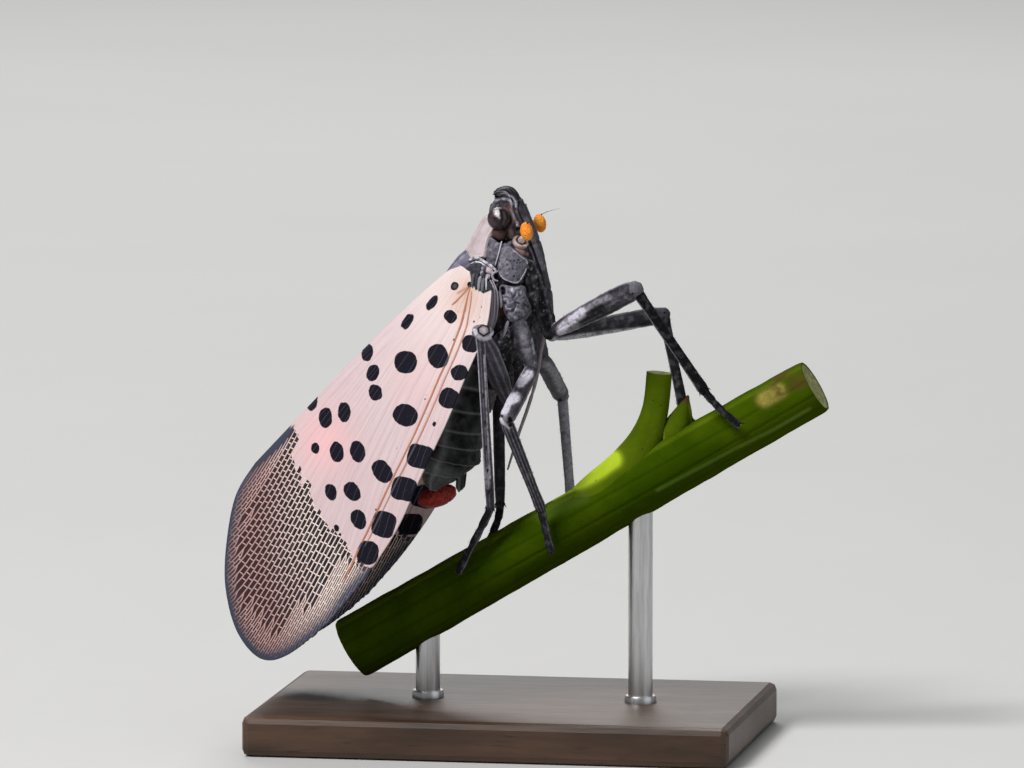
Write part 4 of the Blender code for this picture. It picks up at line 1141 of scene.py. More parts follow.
# Raised plates of the side: outline as forward and up, then height, dome, rim and wrinkles.
sidePlates = (
    {"outline": ((2.90, 2.03), (2.85, 1.59), (2.86, 1.40), (2.39, 1.24), (1.90, 1.12),
                 (1.55, 1.02), (1.66, 1.31), (1.78, 1.62), (2.17, 1.85), (2.59, 2.0)),
     "out": 1.62, "lift": 0.12, "dome": 0.06, "rim": 0.03, "wrinkle": 0.03, "bloom": 0.10,
     "tone": 0.75, "pitted": 0.0},
    {"outline": ((2.96, 1.34), (2.99, 0.69), (2.90, 0.26), (2.75, -0.20), (2.35, -0.36),
                 (1.74, -0.36), (1.56, -0.12), (1.53, 0.49), (1.84, 0.93), (2.34, 1.15)),
     "out": None, "lift": 0.22, "dome": 0.06, "rim": 0.07, "wrinkle": 0.02, "bloom": 0.10,
     "tone": 0.76, "pitted": 1.0, "rimTop": 0.75},
    {"outline": ((1.12, 0.42), (1.42, -0.10), (1.66, -0.58), (1.45, -0.95), (1.02, -1.38),
                 (0.42, -1.46), (-0.06, -1.33), (-0.20, -0.81), (0.25, -0.22)),
     "out": None, "lift": 0.14, "dome": 0.26, "rim": 0.0, "wrinkle": 0.09, "bloom": 0.26,
     "tone": 1.0, "pitted": 0.25,
     "marks": (("bloom", 0.40, 0.030, ((0.19, 4.46), (0.38, 4.16), (0.66, 3.96))),
               ("bloom", 0.40, 0.030, ((0.52, 4.82), (0.60, 4.46), (0.76, 4.14))),
               ("bloom", 0.30, 0.030, ((0.0, 4.02), (0.28, 3.86), (0.55, 3.88))),
               ("bloom", 0.50, 0.070, ((0.26, 3.64), (0.50, 3.58))),
               ("bloom", 0.35, 0.080, ((-0.05, 3.42), (0.12, 3.30))),
               ("bloom", 0.25, 0.20, ((0.0, 4.70), (0.40, 4.60))),
               ("pit", 0.95, 0.10, ((-0.46, 4.70), (-0.40, 4.45))),
               ("pit", 0.7, 0.045, ((-0.13, 3.75),)))},
    {"outline": ((-0.42, -0.95), (-0.10, -1.40), (-0.62, -1.75), (-1.30, -1.55),
                 (-1.85, -1.20), (-1.70, -0.65), (-1.05, -0.55)),
     "out": None, "lift": 0.08, "dome": 0.22, "rim": 0.02, "wrinkle": 0.12, "bloom": 0.10,
     "tone": 0.30, "pitted": 0.0},
    {"outline": ((0.45, 0.55), (0.05, 0.10), (-0.60, -0.20), (-1.50, -0.10), (-2.10, 0.20),
                 (-2.20, 0.80), (-1.20, 1.10), (-0.30, 1.10)),
     "out": None, "lift": 0.04, "dome": 0.12, "rim": 0.02, "wrinkle": 0.10, "bloom": 0.05,
     "tone": 0.15, "pitted": 0.0},
)


def addPlate(shape, plate, side, tag=0):
    count, rings = 110, 26
    border = closedOutline(plate["outline"], count)
    middle = border.mean(axis=0)
    shares = np.concatenate((np.linspace(0.04, 0.80, rings - 10), np.linspace(0.83, 1.0, 10)))
    flat = middle + shares[:, None, None] * (border - middle)[None]
    far = thoraxOut(flat[..., 0], flat[..., 1])
    if plate["out"] is not None:
        far = np.full(far.shape, plate["out"])
    level = plate["lift"] + plate["dome"] * (1 - shares ** 2)
    ridge = np.exp(-((shares - 0.93) / 0.035) ** 2)
    level = level + plate["rim"] * ridge
    drop = np.clip((shares - 0.965) / 0.035, 0, 1)
    level = level - drop * (plate["lift"] + plate["rim"] + 0.12)
    grid = np.stack((flat[..., 0], far + level[:, None], flat[..., 1]), axis=-1)
    folds = creases(grid, 2.2, 9.0)
    small = wobble(grid, 5.0, 3.0, 4)
    inside = ((1 - ridge) * (shares < 0.95))[:, None]
    grid[..., 1] += plate["wrinkle"] * (small * 0.9 - folds * 0.6) * inside
    dots = np.clip(wobble(grid, 9.0, 12.0) * 3.2 - 1.1, 0, 1) * inside * plate["pitted"]
    grid[..., 1] -= 0.04 * dots
    grid[..., 1] *= side
    rimShine = 0.95 if plate["rim"] > 0.05 else 0.35
    rimShine = rimShine * np.clip((plate.get("rimTop", 9.0) - flat[..., 1]) / 0.3 + 0.5, 0.12, 1)
    bloom = (plate["bloom"] * (0.4 + 1.6 * small)
             + rimShine * ridge[:, None] * (0.75 + 0.5 * small) * (plate["rim"] > 0))
    # painted highlights on the crests of the wrinkles
    crest = np.clip(small - 0.15, 0, 1) * plate["wrinkle"] * 8 * inside
    # painted shade in the creases and where the plate drops into the body, with the pitted dots
    pit = (folds ** 3) * inside * min(0.8, plate["wrinkle"] * 9) + drop[:, None] * 0.8 + dots
    faces = gridFaces(len(shares), count, True)
    faces.append(list(range(count)))
    closing = flat[-1:] * 0.9 + middle * 0.1
    base = np.stack((closing[..., 0], far[-1:] - 0.25, closing[..., 1]), axis=-1)
    base[..., 1] *= side
    start = len(shares) * count
    faces += [[start - count + k, start - count + (k + 1) % count, start + (k + 1) % count, start + k]
              for k in range(count)]
    faces.append(list(range(start, start + count))[::-1])
    points = np.vstack((grid.reshape(-1, 3), base.reshape(-1, 3)))
    fields = {"bloom": np.append(np.clip(bloom + crest, 0, 1), np.zeros(count)),
              # the closing base under the plate is painted fully dark, as shade
              "pit": np.append(np.clip(pit, 0, 1), np.ones(count))}
    near = points * (1.0, -side, 1.0)
    markFields(toWorld(near), plate.get("marks", ()), fields)
    shape.add(points, faces, tag, tone=plate["tone"], **fields)


pronotum = {
    # forward, height of the crown, half width, height of the lower edge
    "rows": ((3.50, 2.78, 1.36, 2.12), (3.35, 2.90, 1.52, 2.08), (3.00, 2.94, 1.72, 2.07),
             (2.64, 2.94, 1.84, 2.03), (2.14, 2.94, 1.92, 1.84), (1.86, 2.94, 1.94, 1.76),
             (1.70, 2.94, 1.92, 2.05), (1.40, 2.93, 1.86, 2.42), (1.30, 2.92, 1.84, 2.60)),
    "lengths": 80, "sides": 150, "centre": 0.95, "thickness": 0.16, "keel": 0.05, "rim": 0.05,
    "hollow": 0.05,
}


def closedSheet(outer, inner):    # two equal grids joined round their rim
    rows, columns = outer.shape[:2]
    size = rows * columns
    faces = gridFaces(rows, columns)
    both = faces + [[corner + size for corner in face[::-1]] for face in faces]
    rim = [k for k in range(columns - 1)] + [k * columns + columns - 1 for k in range(rows - 1)]
    rim += [(rows - 1) * columns + k for k in range(columns - 1, 0, -1)]
    rim += [k * columns for k in range(rows - 1, 0, -1)]
    both += [[a, b, b + size, a + size] for a, b in zip(rim, rim[1:] + rim[:1])]
    return np.vstack((outer.reshape(-1, 3), inner.reshape(-1, 3))), both


def makePronotum():
    rows = evenPoints(pronotum["rows"], pronotum["lengths"])
    across = np.linspace(-1.0, 1.0, pronotum["sides"])
    side = np.abs(across)
    share = np.linspace(0, 1, len(rows))
    ends = np.clip(np.minimum(share, 1 - share) / 0.07, 0, 1) ** 0.5
    edges = np.clip((1.0 - side) / 0.07, 0, 1) ** 0.5
    ease = ends[:, None] * edges[None, :]
    ridge = pronotum["rim"] * np.exp(-((side - 0.93) / 0.035) ** 2)
    ridge = ridge + pronotum["keel"] * np.exp(-(across / 0.035) ** 2)
    ridge = ridge - pronotum["hollow"] * np.exp(-((side - 0.35) / 0.12) ** 2)
    layers = []
    for sink in (0.0, 1.0):
        made = []
        for (forward, crown, wide, low), soft in zip(rows, ease):
            centre = pronotum["centre"]
            high = crown - centre
            start = math.asin(np.clip((low - centre) / high, -0.95, 0.98))
            angle = math.pi / 2 + across * (math.pi / 2 - start)
            lift = ridge * soft - (1 - soft) * 0.10 if sink == 0.0 else -pronotum["thickness"]
            made.append(np.stack((np.full(len(across), forward), (wide + lift) * np.cos(angle),
                                  centre + (high + lift) * np.sin(angle)), axis=1))
        layers.append(np.array(made))
    outer, inner = layers
    outer = outer + 0.022 * wobble(outer, 2.4, 7.0)[..., None] * gridNormals(outer)
    points, faces = closedSheet(outer, inner)
    bloom = np.zeros(outer.shape[:2]) + 0.6 * np.exp(-((side - 0.93) / 0.035) ** 2)
    pit = 0.8 * (1 - ease)
    pit += 0.25 * np.exp(-((side - 0.35) / 0.05) ** 2) * ease
    shape = Shape()
    shape.add(points, faces, bloom=np.tile(bloom.reshape(-1), 2),
              pit=np.tile(np.clip(pit, 0, 1).reshape(-1), 2))
    shape.build("pronotumSaddle", "pronotum", ["pronotum"])
    print("pronotum made")


mesonotum = {
    # forward, height of the crown, half width
    "rows": ((1.95, 2.72, 1.70), (1.55, 2.86, 1.74), (1.20, 3.00, 1.68), (0.85, 3.10, 1.52),
             (0.0, 3.22, 1.05), (-0.6, 3.24, 0.72), (-1.2, 3.22, 0.50), (-2.0, 3.10, 0.34),
             (-2.8, 2.80, 0.16)),
    "lengths": 100, "columns": 80, "drop": 0.95, "keel": 0.06, "thickness": 0.25,
}


def makeMesonotum():    # the shield between the wing roots, pointed at its back end
    rows = evenPoints(mesonotum["rows"], mesonotum["lengths"])
    across = np.linspace(-1, 1, mesonotum["columns"])
    side = np.abs(across)
    grid = np.zeros((len(rows), len(across), 3))
    grid[..., 0] = rows[:, 0:1]
    grid[..., 1] = across * rows[:, 2:3]
    fall = mesonotum["drop"] * rows[:, 2:3] / rows[:, 2].max()
    keels = np.exp(-(across / 0.05) ** 2) + 1.2 * np.exp(-((side - 0.50) / 0.07) ** 2)
    grid[..., 2] = rows[:, 1:2] - fall * side ** 2.2 + mesonotum["keel"] * keels
    small = wobble(grid, 3.0, 2.0)
    grid[..., 2] += 0.03 * small
    under = grid.copy()
    under[..., 2] -= mesonotum["thickness"]
    under[..., 1] *= 0.9
    points, faces = closedSheet(grid, under)
    bloom = np.clip(0.20 * keels[None, :] + 0.15 * small, 0, 1)
    pit = np.clip((side - 0.93) / 0.07, 0, 1)[None, :] * np.ones((len(rows), 1)) * 0.7
    shape = Shape()
    shape.add(points, faces, bloom=np.tile(bloom.reshape(-1), 2), pit=np.tile(pit.reshape(-1), 2))
    shape.build("mesonotum", "mesonotum", ())
    print("mesonotum made")


tegula = {
    # pale arched ridge and the second one below it: forward, out, up
    "ridges": (((1.30, 1.42, 2.46), (1.39, 1.55, 2.36), (1.56, 1.70, 2.24), (1.69, 1.85, 2.10),
                (1.74, 2.00, 1.90), (1.77, 2.15, 1.68), (1.79, 2.30, 1.43), (1.79, 2.42, 1.16),
                (1.74, 2.46, 0.94)),
               ((1.20, 1.70, 2.25), (1.45, 1.90, 2.08), (1.60, 2.08, 1.85), (1.62, 2.24, 1.58),
                (1.66, 2.38, 1.34))),
    "ridgeRadii": (0.075, 0.060),
    # lumps: forward, out, up, three radii, tone of pink
    "lumps": (((1.55, 2.42, 1.20), (0.15, 0.16, 0.20), 1.0), ((1.27, 2.20, 1.96), (0.15, 0.15, 0.15), 0.2),
              ((1.47, 2.25, 1.72), (0.14, 0.15, 0.14), 0.5), ((1.48, 2.35, 1.50), (0.13, 0.15, 0.12), 0.0),
              ((1.12, 2.32, 1.74), (0.16, 0.14, 0.15), 0.4), ((1.25, 2.42, 1.45), (0.17, 0.14, 0.12), 0.1),
              ((1.28, 2.48, 1.12), (0.14, 0.12, 0.11), 0.6)),
    # pleats running down onto the wing root, with how pale each is
    "pleats": ((((1.07, 2.36, 1.73), (0.80, 2.52, 1.64), (0.50, 2.66, 1.50)), 0.10),
               (((1.20, 2.38, 1.60), (0.86, 2.54, 1.44), (0.51, 2.70, 1.28)), 0.0),
               (((1.16, 2.42, 1.38), (0.85, 2.58, 1.27), (0.55, 2.74, 1.13)), 0.35),
               (((1.16, 2.44, 1.18), (0.86, 2.60, 1.06), (0.60, 2.76, 0.94)), 0.15),
               (((1.39, 2.46, 1.18), (1.11, 2.62, 1.00), (0.79, 2.80, 0.81)), 0.9)),
    "pleatRadius": 0.105,
    # folds beside the wing's front edge, with their pink
    "folds": ((((1.06, 2.66, 0.92), (0.72, 2.74, 0.63), (0.32, 2.82, 0.36), (-0.25, 2.88, 0.08),
                (-0.77, 2.94, -0.18)), 0.2),
              (((1.18, 2.62, 0.90), (0.88, 2.70, 0.55), (0.39, 2.78, 0.24), (-0.18, 2.84, -0.03),
                (-0.76, 2.90, -0.29)), 0.6),
              (((1.23, 2.56, 0.81), (0.86, 2.64, 0.40), (0.42, 2.72, 0.09), (-0.15, 2.78, -0.18),
                (-0.71, 2.86, -0.37)), 0.1)),
    "foldRadius": 0.10,
}


def onWing(points, above):    # moves points out onto the wing's root where it covers them
    u, v = np.meshgrid(np.linspace(0, 0.15, 40), np.linspace(0.4, 1, 60))
    surface = (wingSurface(u, v) + wingNormal(u, v) * wing["lift"]).reshape(-1, 3)
    moved = np.array(points)
    for point in moved:
        away = np.hypot(surface[:, 0] - point[0], surface[:, 2] - point[2])
        nearest = np.argmin(away)
        if away[nearest] < 0.12:
            point[1] = max(point[1], surface[nearest, 1] + above)
    return moved


def makeTegulae():    # ridges, lumps and pleats over the wing roots
    for name, sign in (("left", 1.0), ("right", -1.0)):
        flip = np.array((1.0, sign, 1.0))
        shape = Shape()
        for path, radius in zip(tegula["ridges"], tegula["ridgeRadii"]):
            line = smoothRows(path, 6) * flip
            share = np.linspace(0, 1, len(line))
            rough = 1 + 0.30 * wobble(line, 5.0, 3.0)
            radii = radius * np.interp(share, (0, 0.15, 0.85, 1), (0.5, 1, 1, 0.6)) * rough
            grid, _, _ = tubeGrid(line, radii, 14)
            mottle = (0.55 + 0.9 * wobble(grid, 4.5, 6.0)).reshape(-1)
            shape.grid(grid, True, True, bloom=np.clip(mottle, 0.1, 1),
                       pit=np.clip(0.45 - mottle, 0, 1))
        for centre, radii, pink in tegula["lumps"]:
            grid, ball = ballGrid(centre, radii, rows=30, columns=44)
            small = wobble(grid, 5.0, 4.0)
            grid = centre + (grid - centre) * (1 + 0.28 * small[..., None])
            bloom = np.clip(0.15 + 0.7 * small, 0, 1)
            shape.grid(grid * flip, True, True, bloom=bloom.reshape(-1), pink=pink)
        bed, ball = ballGrid((1.05, 2.26, 1.50), (0.62, 0.26, 0.78), rows=40, columns=60)
        folds = creases(bed, 3.0, 2.0)
        bed = np.array((1.05, 2.26, 1.50)) + (bed - (1.05, 2.26, 1.50)) * (1 - 0.12 * folds[..., None])
        # painted shade: the bed is darkened in its creases
        shape.grid(bed * flip, True, True, tone=0.85, pit=(folds ** 2).reshape(-1) * 0.8)
        for path, pale in tegula["pleats"]:
            line = onWing(smoothRows(path, 8), 0.03) * flip
            share = np.linspace(0, 1, len(line))
            radii = tegula["pleatRadius"] * np.interp(share, (0, 0.2, 0.75, 1), (0.6, 1, 0.8, 0.3))
            addTube(shape, line, radii * (0.45 if pale > 0.8 else 1.0), 14,
                    tone=0.9 - 0.8 * pale, bloom=pale * 0.9)
        for path, pink in tegula["folds"]:
            line = smoothRows(path, 8) * flip
            share = np.linspace(0, 1, len(line))
            radii = tegula["foldRadius"] * np.interp(share, (0, 0.2, 0.8, 1), (0.6, 1, 0.8, 0.35))
            grid, shares, angles = tubeGrid(line, radii, 20,
                                            lambda part, angle: 1.0 + 0.12 * np.sin(angle * 3 + part * 4))
            ridges = 0.12 + 0.35 * np.sin(angles[None, :] * 3 + shares[:, None] * 4)
            shape.grid(grid, True, True, bloom=np.clip(ridges, 0, 1).reshape(-1), pink=pink * 0.6,
                       tone=0.35)
        shape.build("tegula." + name, "mesonotum", ["tegula_" + name])
    print("tegulae made")


# ---- head

head = {
    # forward, up, half height, half width, along the face from below to the curled top
    "sections": ((0.62, -2.12, 0.33, 0.38), (1.29, -1.39, 0.57, 0.55), (2.05, -0.65, 0.60, 0.72),
                 (2.84, 0.17, 0.70, 1.00), (3.45, 0.96, 0.75, 1.30), (3.88, 1.66, 0.84, 1.42),
                 (4.18, 2.12, 0.94, 1.20), (4.58, 2.36, 0.76, 0.92), (4.80, 2.52, 0.46, 0.70),
                 (4.72, 2.80, 0.28, 0.52), (4.50, 2.99, 0.16, 0.34)),
    "sides": 168, "steps": 16, "keelAngle": 22.0, "keelHeight": 0.09,
    # marks seen from the right side: field, strength, half width, line in the photo's plane in mm
    "marks": (("bloom", 0.12, 0.09, ((-0.40, 9.28), (-0.10, 9.17), (0.13, 8.96), (0.20, 8.68))),
              ("bloom", 0.45, 0.030, ((-0.14, 9.22), (0.06, 9.12), (0.17, 8.92), (0.20, 8.66))),
              ("bloom", 0.42, 0.050, ((-0.82, 8.96), (-0.50, 9.06), (-0.13, 9.0), (0.04, 8.78))),
              ("pit", 0.8, 0.030, ((-0.75, 9.12), (-0.45, 9.20), (-0.15, 9.13), (0.03, 8.95))),
              ("cheek", 0.35, 0.14, ((-0.25, 8.72), (0.05, 8.50))),
              ("pit", 0.9, 0.035, ((0.25, 9.22), (0.34, 8.87), (0.29, 8.53), (0.44, 8.14),
                                   (0.59, 7.84), (0.83, 7.16), (1.08, 6.47), (1.37, 5.69),
                                   (1.67, 4.51))),
              ("bloom", 0.22, 0.12, ((0.69, 8.04), (1.03, 7.06), (1.32, 6.18), (1.52, 5.69))),
              ("cheek", 0.35, 0.15, ((-0.15, 8.55), (-0.08, 8.04), (-0.15, 7.60))),
              ("pink", 0.9, 0.08, ((0.27, 7.86),)), ("bloom", 0.6, 0.06, ((0.27, 7.88),)),
              ("pit", 1.0, 0.08, ((0.25, 7.58), (0.40, 7.60))),
              ("pink", 0.75, 0.10, ((-0.05, 7.45), (0.0, 7.10), (0.15, 6.75))),
              ("cheek", 0.8, 0.10, ((0.34, 6.45), (0.88, 6.30))),
              ("pink", 0.9, 0.08, ((0.22, 6.52), (0.52, 6.38), (0.74, 6.30))),
              ("cheek", 0.5, 0.16, ((-0.45, 7.10), (-0.70, 7.30)))),
}


def makeHead():
    rows = smoothRows(head["sections"], head["steps"])
    centres = np.stack((rows[:, 0], np.zeros(len(rows)), rows[:, 1]), axis=1)
    along = unit(np.gradient(centres, axis=0))
    across = np.stack((-along[:, 2], np.zeros(len(rows)), along[:, 0]), axis=1)
    angles = np.linspace(0, 2 * math.pi, head["sides"], endpoint=False)
    power = 2.0 / 2.5
    side = np.sign(np.cos(angles)) * np.abs(np.cos(angles)) ** power
    rise = np.sign(np.sin(angles)) * np.abs(np.sin(angles)) ** power
    grid = (centres[:, None, :] + across[:, None, :] * (rows[:, 2:3] * rise)[..., None])
    grid[..., 1] += rows[:, 3:4] * side
    normals = gridNormals(grid, True)
    outward = np.sign(np.sum(normals * (grid - centres[:, None, :]), axis=-1))
    normals = normals * outward[..., None]
    share = np.linspace(0, 1, len(rows))[:, None]
    degrees = np.degrees(angles)
    keel = np.zeros(len(angles))
    for mark in (360.0 - head["keelAngle"], 180.0 + head["keelAngle"]):
        keel += np.exp(-((degrees - mark) / 4.0) ** 2)
    midKeel = np.exp(-((degrees - 270.0) / 3.0) ** 2)
    crownKeel = sum(np.exp(-((degrees - mark) / 5.0) ** 2) for mark in (38.0, 142.0))
    keelRows = np.clip((share - 0.10) / 0.15, 0, 1)
    hollow = np.exp(-((degrees - 90.0) / 32.0) ** 2) * np.clip((share - 0.45) / 0.1, 0, 1)
    groove = sum(np.exp(-((degrees - mark) / 4.5) ** 2)
                 for mark in (348.0 - head["keelAngle"], 192.0 + head["keelAngle"]))
    lift = head["keelHeight"] * (keel + 0.4 * midKeel + 0.8 * crownKeel)[None, :] * keelRows
    lift = lift - 0.12 * hollow - 0.06 * groove[None, :] * keelRows
    folds = creases(grid, 2.6, 1.5)
    small = wobble(grid, 5.0, 8.0)
    upper = np.clip((share - 0.58) / 0.08, 0, 1)
    sidePart = (np.sin(angles) > -0.30)[None, :] * upper
    lift = lift + 0.015 * small - 0.09 * folds * sidePart
    seam = np.exp(-((share - 0.335) / 0.006) ** 2) + np.exp(-((share - 0.12) / 0.006) ** 2)
    seam = seam * (np.sin(angles) < -0.2)[None, :]
    lift = lift - 0.04 * seam
    orbit = np.zeros(grid.shape[:2])
    for sign in (1.0, -1.0):
        eye = np.array(eyes["place"]) * (1.0, sign, 1.0)
        away = np.linalg.norm((grid - eye) / (np.array(eyes["radii"]) * 1.12), axis=-1)
        ring = np.exp(-((away - 1.16) / 0.11) ** 2)
        lift = lift + 0.11 * ring - 0.35 * np.clip(1.0 - away, 0, 1)
        orbit += ring * (grid[..., 0] > 3.75)
    grid = grid + normals * lift[..., None]
    face = np.clip((-np.sin(angles) - 0.30) / 0.25, 0, 1)[None, :]
    crest = np.clip(0.55 - folds, 0, 1) * sidePart * np.clip(1.0 - (share - 0.86) / 0.05, 0, 1)
    bloom = 0.30 * keel[None, :] * keelRows + 0.15 * crownKeel[None, :] + 0.25 * crest ** 2 * (small > -0.1)
    bloom = bloom + 0.10 * orbit + 0.12 * np.clip(small, 0, 1)
    hood = np.clip((share - 0.66) / 0.10, 0, 1)
    tone = 0.20 + 0.16 * face * (1 - hood) - 0.08 * hood
    fields = {"bloom": np.clip(bloom, 0, 1).reshape(-1), "tone": (tone + 0 * small).reshape(-1),
              "pit": np.clip(seam * 0.6 + groove[None, :] * keelRows * 0.5, 0, 1).reshape(-1)}
    near = grid.copy()
    near[..., 1] = -np.abs(near[..., 1])
    markFields(toWorld(near.reshape(-1, 3)).reshape(near.shape), head["marks"], fields)
    shape = Shape()
    shape.grid(grid, True, True, **fields)
    for sign in (1.0, -1.0):
        flip = np.array((1.0, sign, 1.0))
        for centre, radii, fields in headKnobs:
            knob, ball = ballGrid(centre, radii, rows=30, columns=40)
            small = wobble(knob, 4.0, 2.0)
            knob = np.array(centre) + (knob - np.array(centre)) * (1 + 0.15 * small[..., None])
            shape.grid(knob * flip, True, True, **fields)
    shape.build("headCapsule", "chitin", ["head"])
    print("head made")


headKnobs = (    # the swelling below the eye, and the small pale eye before the feeler
    ((3.22, 1.52, 1.76), (0.30, 0.26, 0.34), {"tone": 0.10, "pink": 0.08, "cheek": 0.30}),
    ((4.02, 1.32, 1.20), (0.08, 0.08, 0.08), {"tone": 0.9, "bloom": 0.8, "pink": 0.4}),
)


eyes = {
    "place": (3.88, 1.60, 2.12), "radii": (0.56, 0.52, 0.56),
    # painted highlight (the bright spot and its tail), brown patches and the dark crescent beside them, as
    # for the head
    "marks": (("cheek", 0.5, 0.10, ((-0.98, 8.22), (-1.02, 8.02), (-0.92, 7.78))),
              ("cheek", 0.7, 0.08, ((-0.42, 8.34), (-0.36, 8.10), (-0.44, 7.84))),
              ("cheek", 0.5, 0.10, ((-0.80, 7.74), (-0.62, 7.64))),
              ("pit", 0.9, 0.05, ((-0.56, 8.44), (-0.47, 8.24), (-0.46, 8.02), (-0.54, 7.84))),
              ("bloom", 0.90, 0.125, ((-0.77, 8.42), (-0.74, 8.31))),
              ("bloom", 0.40, 0.06, ((-0.68, 8.20), (-0.62, 8.10)))),
}


def makeEyes():
    for name, sign in (("left", 1.0), ("right", -1.0)):
        shape = Shape()
        centre = np.array(eyes["place"]) * (1.0, sign, 1.0)
        grid, ball = ballGrid(centre, eyes["radii"], rows=90, columns=120)
        near = grid * (1.0, -sign, 1.0)
        fields = {}
        markFields(toWorld(near.reshape(-1, 3)).reshape(near.shape), eyes["marks"], fields)
        shape.grid(grid, True, True, **fields)
        shape.build("eye." + name, "eye", ["eye_" + name])
    print("eyes made")


antenna = {"scape": (3.37, 1.34, 0.66), "pedicel": (4.07, 1.87, 0.59),
           "pedicelRadii": (0.45, 0.31, 0.31), "lean": (0.76, -0.10, 0.63),
           "tip": (5.10, 2.70, 0.10), "pitDepth": 0.06}


def makeAntennae():
    for name, sign in (("left", 1.0), ("right", -1.0)):
        flip = np.array((1.0, sign, 1.0))
        scape, bulb = np.array(antenna["scape"]) * flip, np.array(antenna["pedicel"]) * flip
        tip = np.array(antenna["tip"]) * flip
        shape = Shape()
        forward = unit(bulb - scape)
        # pale collar round the foot of the feeler, dark in its middle
        ring = np.linspace(0, 2 * math.pi, 56, endpoint=False)
        side = unit(np.cross(forward, (0.0, 0.0, 1.0)))
        other = np.cross(forward, side)
        profile = ((0.32, -0.35), (0.40, -0.08), (0.39, 0.04), (0.33, 0.12), (0.26, 0.11),
                   (0.21, 0.02), (0.19, -0.06), (0.12, -0.02))
        collar = np.array([scape + forward * level + np.outer(np.cos(ring) * radius, side)
                           + np.outer(np.sin(ring) * radius, other) for radius, level in profile])
        dark = np.repeat(np.array((0.7, 0.35, 0.05, 0.0, 0.25, 0.9, 1, 1.0)), len(ring))
        shape.grid(collar, True, True, tag=1, pit=dark)
        neck, _ = ballGrid(scape + forward * 0.16, (0.24, 0.18, 0.18),
                           np.array((forward, side, other)), rows=24, columns=36)
        shape.grid(neck, True, True, tag=1, pit=0.0)
        lean = unit(np.array(antenna["lean"]) * flip)
        first = unit(np.cross(lean, (0.0, 1.0, 0.0)))
        axes = np.array((lean, first, np.cross(lean, first)))
        grid, ball = ballGrid(bulb, antenna["pedicelRadii"], axes, rows=70, columns=90)
        turn = np.arctan2(ball[..., 1], ball[..., 2])
        dimples = np.sin(ball[..., 0] * 17 + np.sin(turn * 2)) * np.sin(turn * 10)
        grid = bulb + (grid - bulb) * (1 + antenna["pitDepth"] * dimples[..., None] * 0.5)
        shape.grid(grid, True, True)
        end = bulb + lean * antenna["pedicelRadii"][0] * 0.80 + unit(tip - bulb) * 0.12
        addTube(shape, [end - lean * 0.1, end + unit(tip - end) * 0.06], (0.06, 0.05), 12, tag=2)
        addSpike(shape, end, tip, 0.018, 2, 8, bend=(0.10, 0.0, 0.20))
        shape.build("antenna." + name, ("antenna", "scape", "hair"), ["antenna_" + name])
    print("antennae made")


rostrum = {"path": ((0.60, 0.0, -2.05), (-0.30, 0.0, -2.42), (-1.11, 0.0, -2.70),
                    (-1.66, 0.0, -2.92), (-2.68, 0.0, -3.24), (-3.96, 0.0, -3.51),
                    (-5.31, 0.0, -3.74), (-7.00, 0.0, -4.10)),
           "radii": (0.18, 0.14, 0.10, 0.09, 0.09, 0.09, 0.08, 0.05)}


def makeRostrum():
    path = smoothRows(rostrum["path"], 12)
    radii = smoothRows([(radius,) for radius in rostrum["radii"]], 12)[:, 0]
    share = np.linspace(0, 1, len(path))
    joints = sum(np.exp(-((share - place) / 0.012) ** 2) for place in (0.30, 0.62))
    radii = radii * (1 - 0.25 * joints)

    def form(place, angle):    # a groove runs down the front
        return 1.0 - 0.25 * np.exp(-((angle - 1.5 * math.pi) / 0.25) ** 2)
    grid, shares, angles = tubeGrid(path, radii, 28, form)
    shape = Shape()
    shape.grid(grid, True, True, tone=0.55, pink=0.25,
               bloom=np.repeat(0.30 * np.clip(shares * 4, 0, 1), 28))
    shape.build("rostrumTube", "chitin", ["rostrum"])
    print("rostrum made")


# ---- abdomen

abdomen = {
    # forward, up, half height, half width
    "sections": ((-2.60, -0.05, 1.72, 2.00), (-2.95, -0.06, 1.79, 2.10), (-3.50, -0.05, 1.82, 2.25),
                 (-4.60, -0.10, 1.82, 2.36), (-5.94, -0.33, 1.83, 2.40), (-7.03, -0.72, 1.82, 2.25),
                 (-7.50, -0.92, 1.80, 2.15), (-8.20, -0.98, 1.44, 1.92), (-8.70, -1.04, 1.18, 1.70),
                 (-9.20, -1.10, 0.80, 1.42), (-9.60, -1.30, 0.45, 0.95)),
    # where each ring ends, measured at the belly side, and how the rings lean
    "ringEnds": (-2.3, -4.05, -5.26, -6.33, -7.14, -7.96, -8.78, -9.7), "lean": 0.26,
    "sides": 150, "steps": 20, "relief": 0.10,
    "endPiece": ((-9.95, 0.0, -1.70), (0.98, 1.05, 0.52), (-0.735, 0.678)),
    "flap": ((-8.15, -0.35, -2.12), (-9.10, -0.35, -2.55)),
}


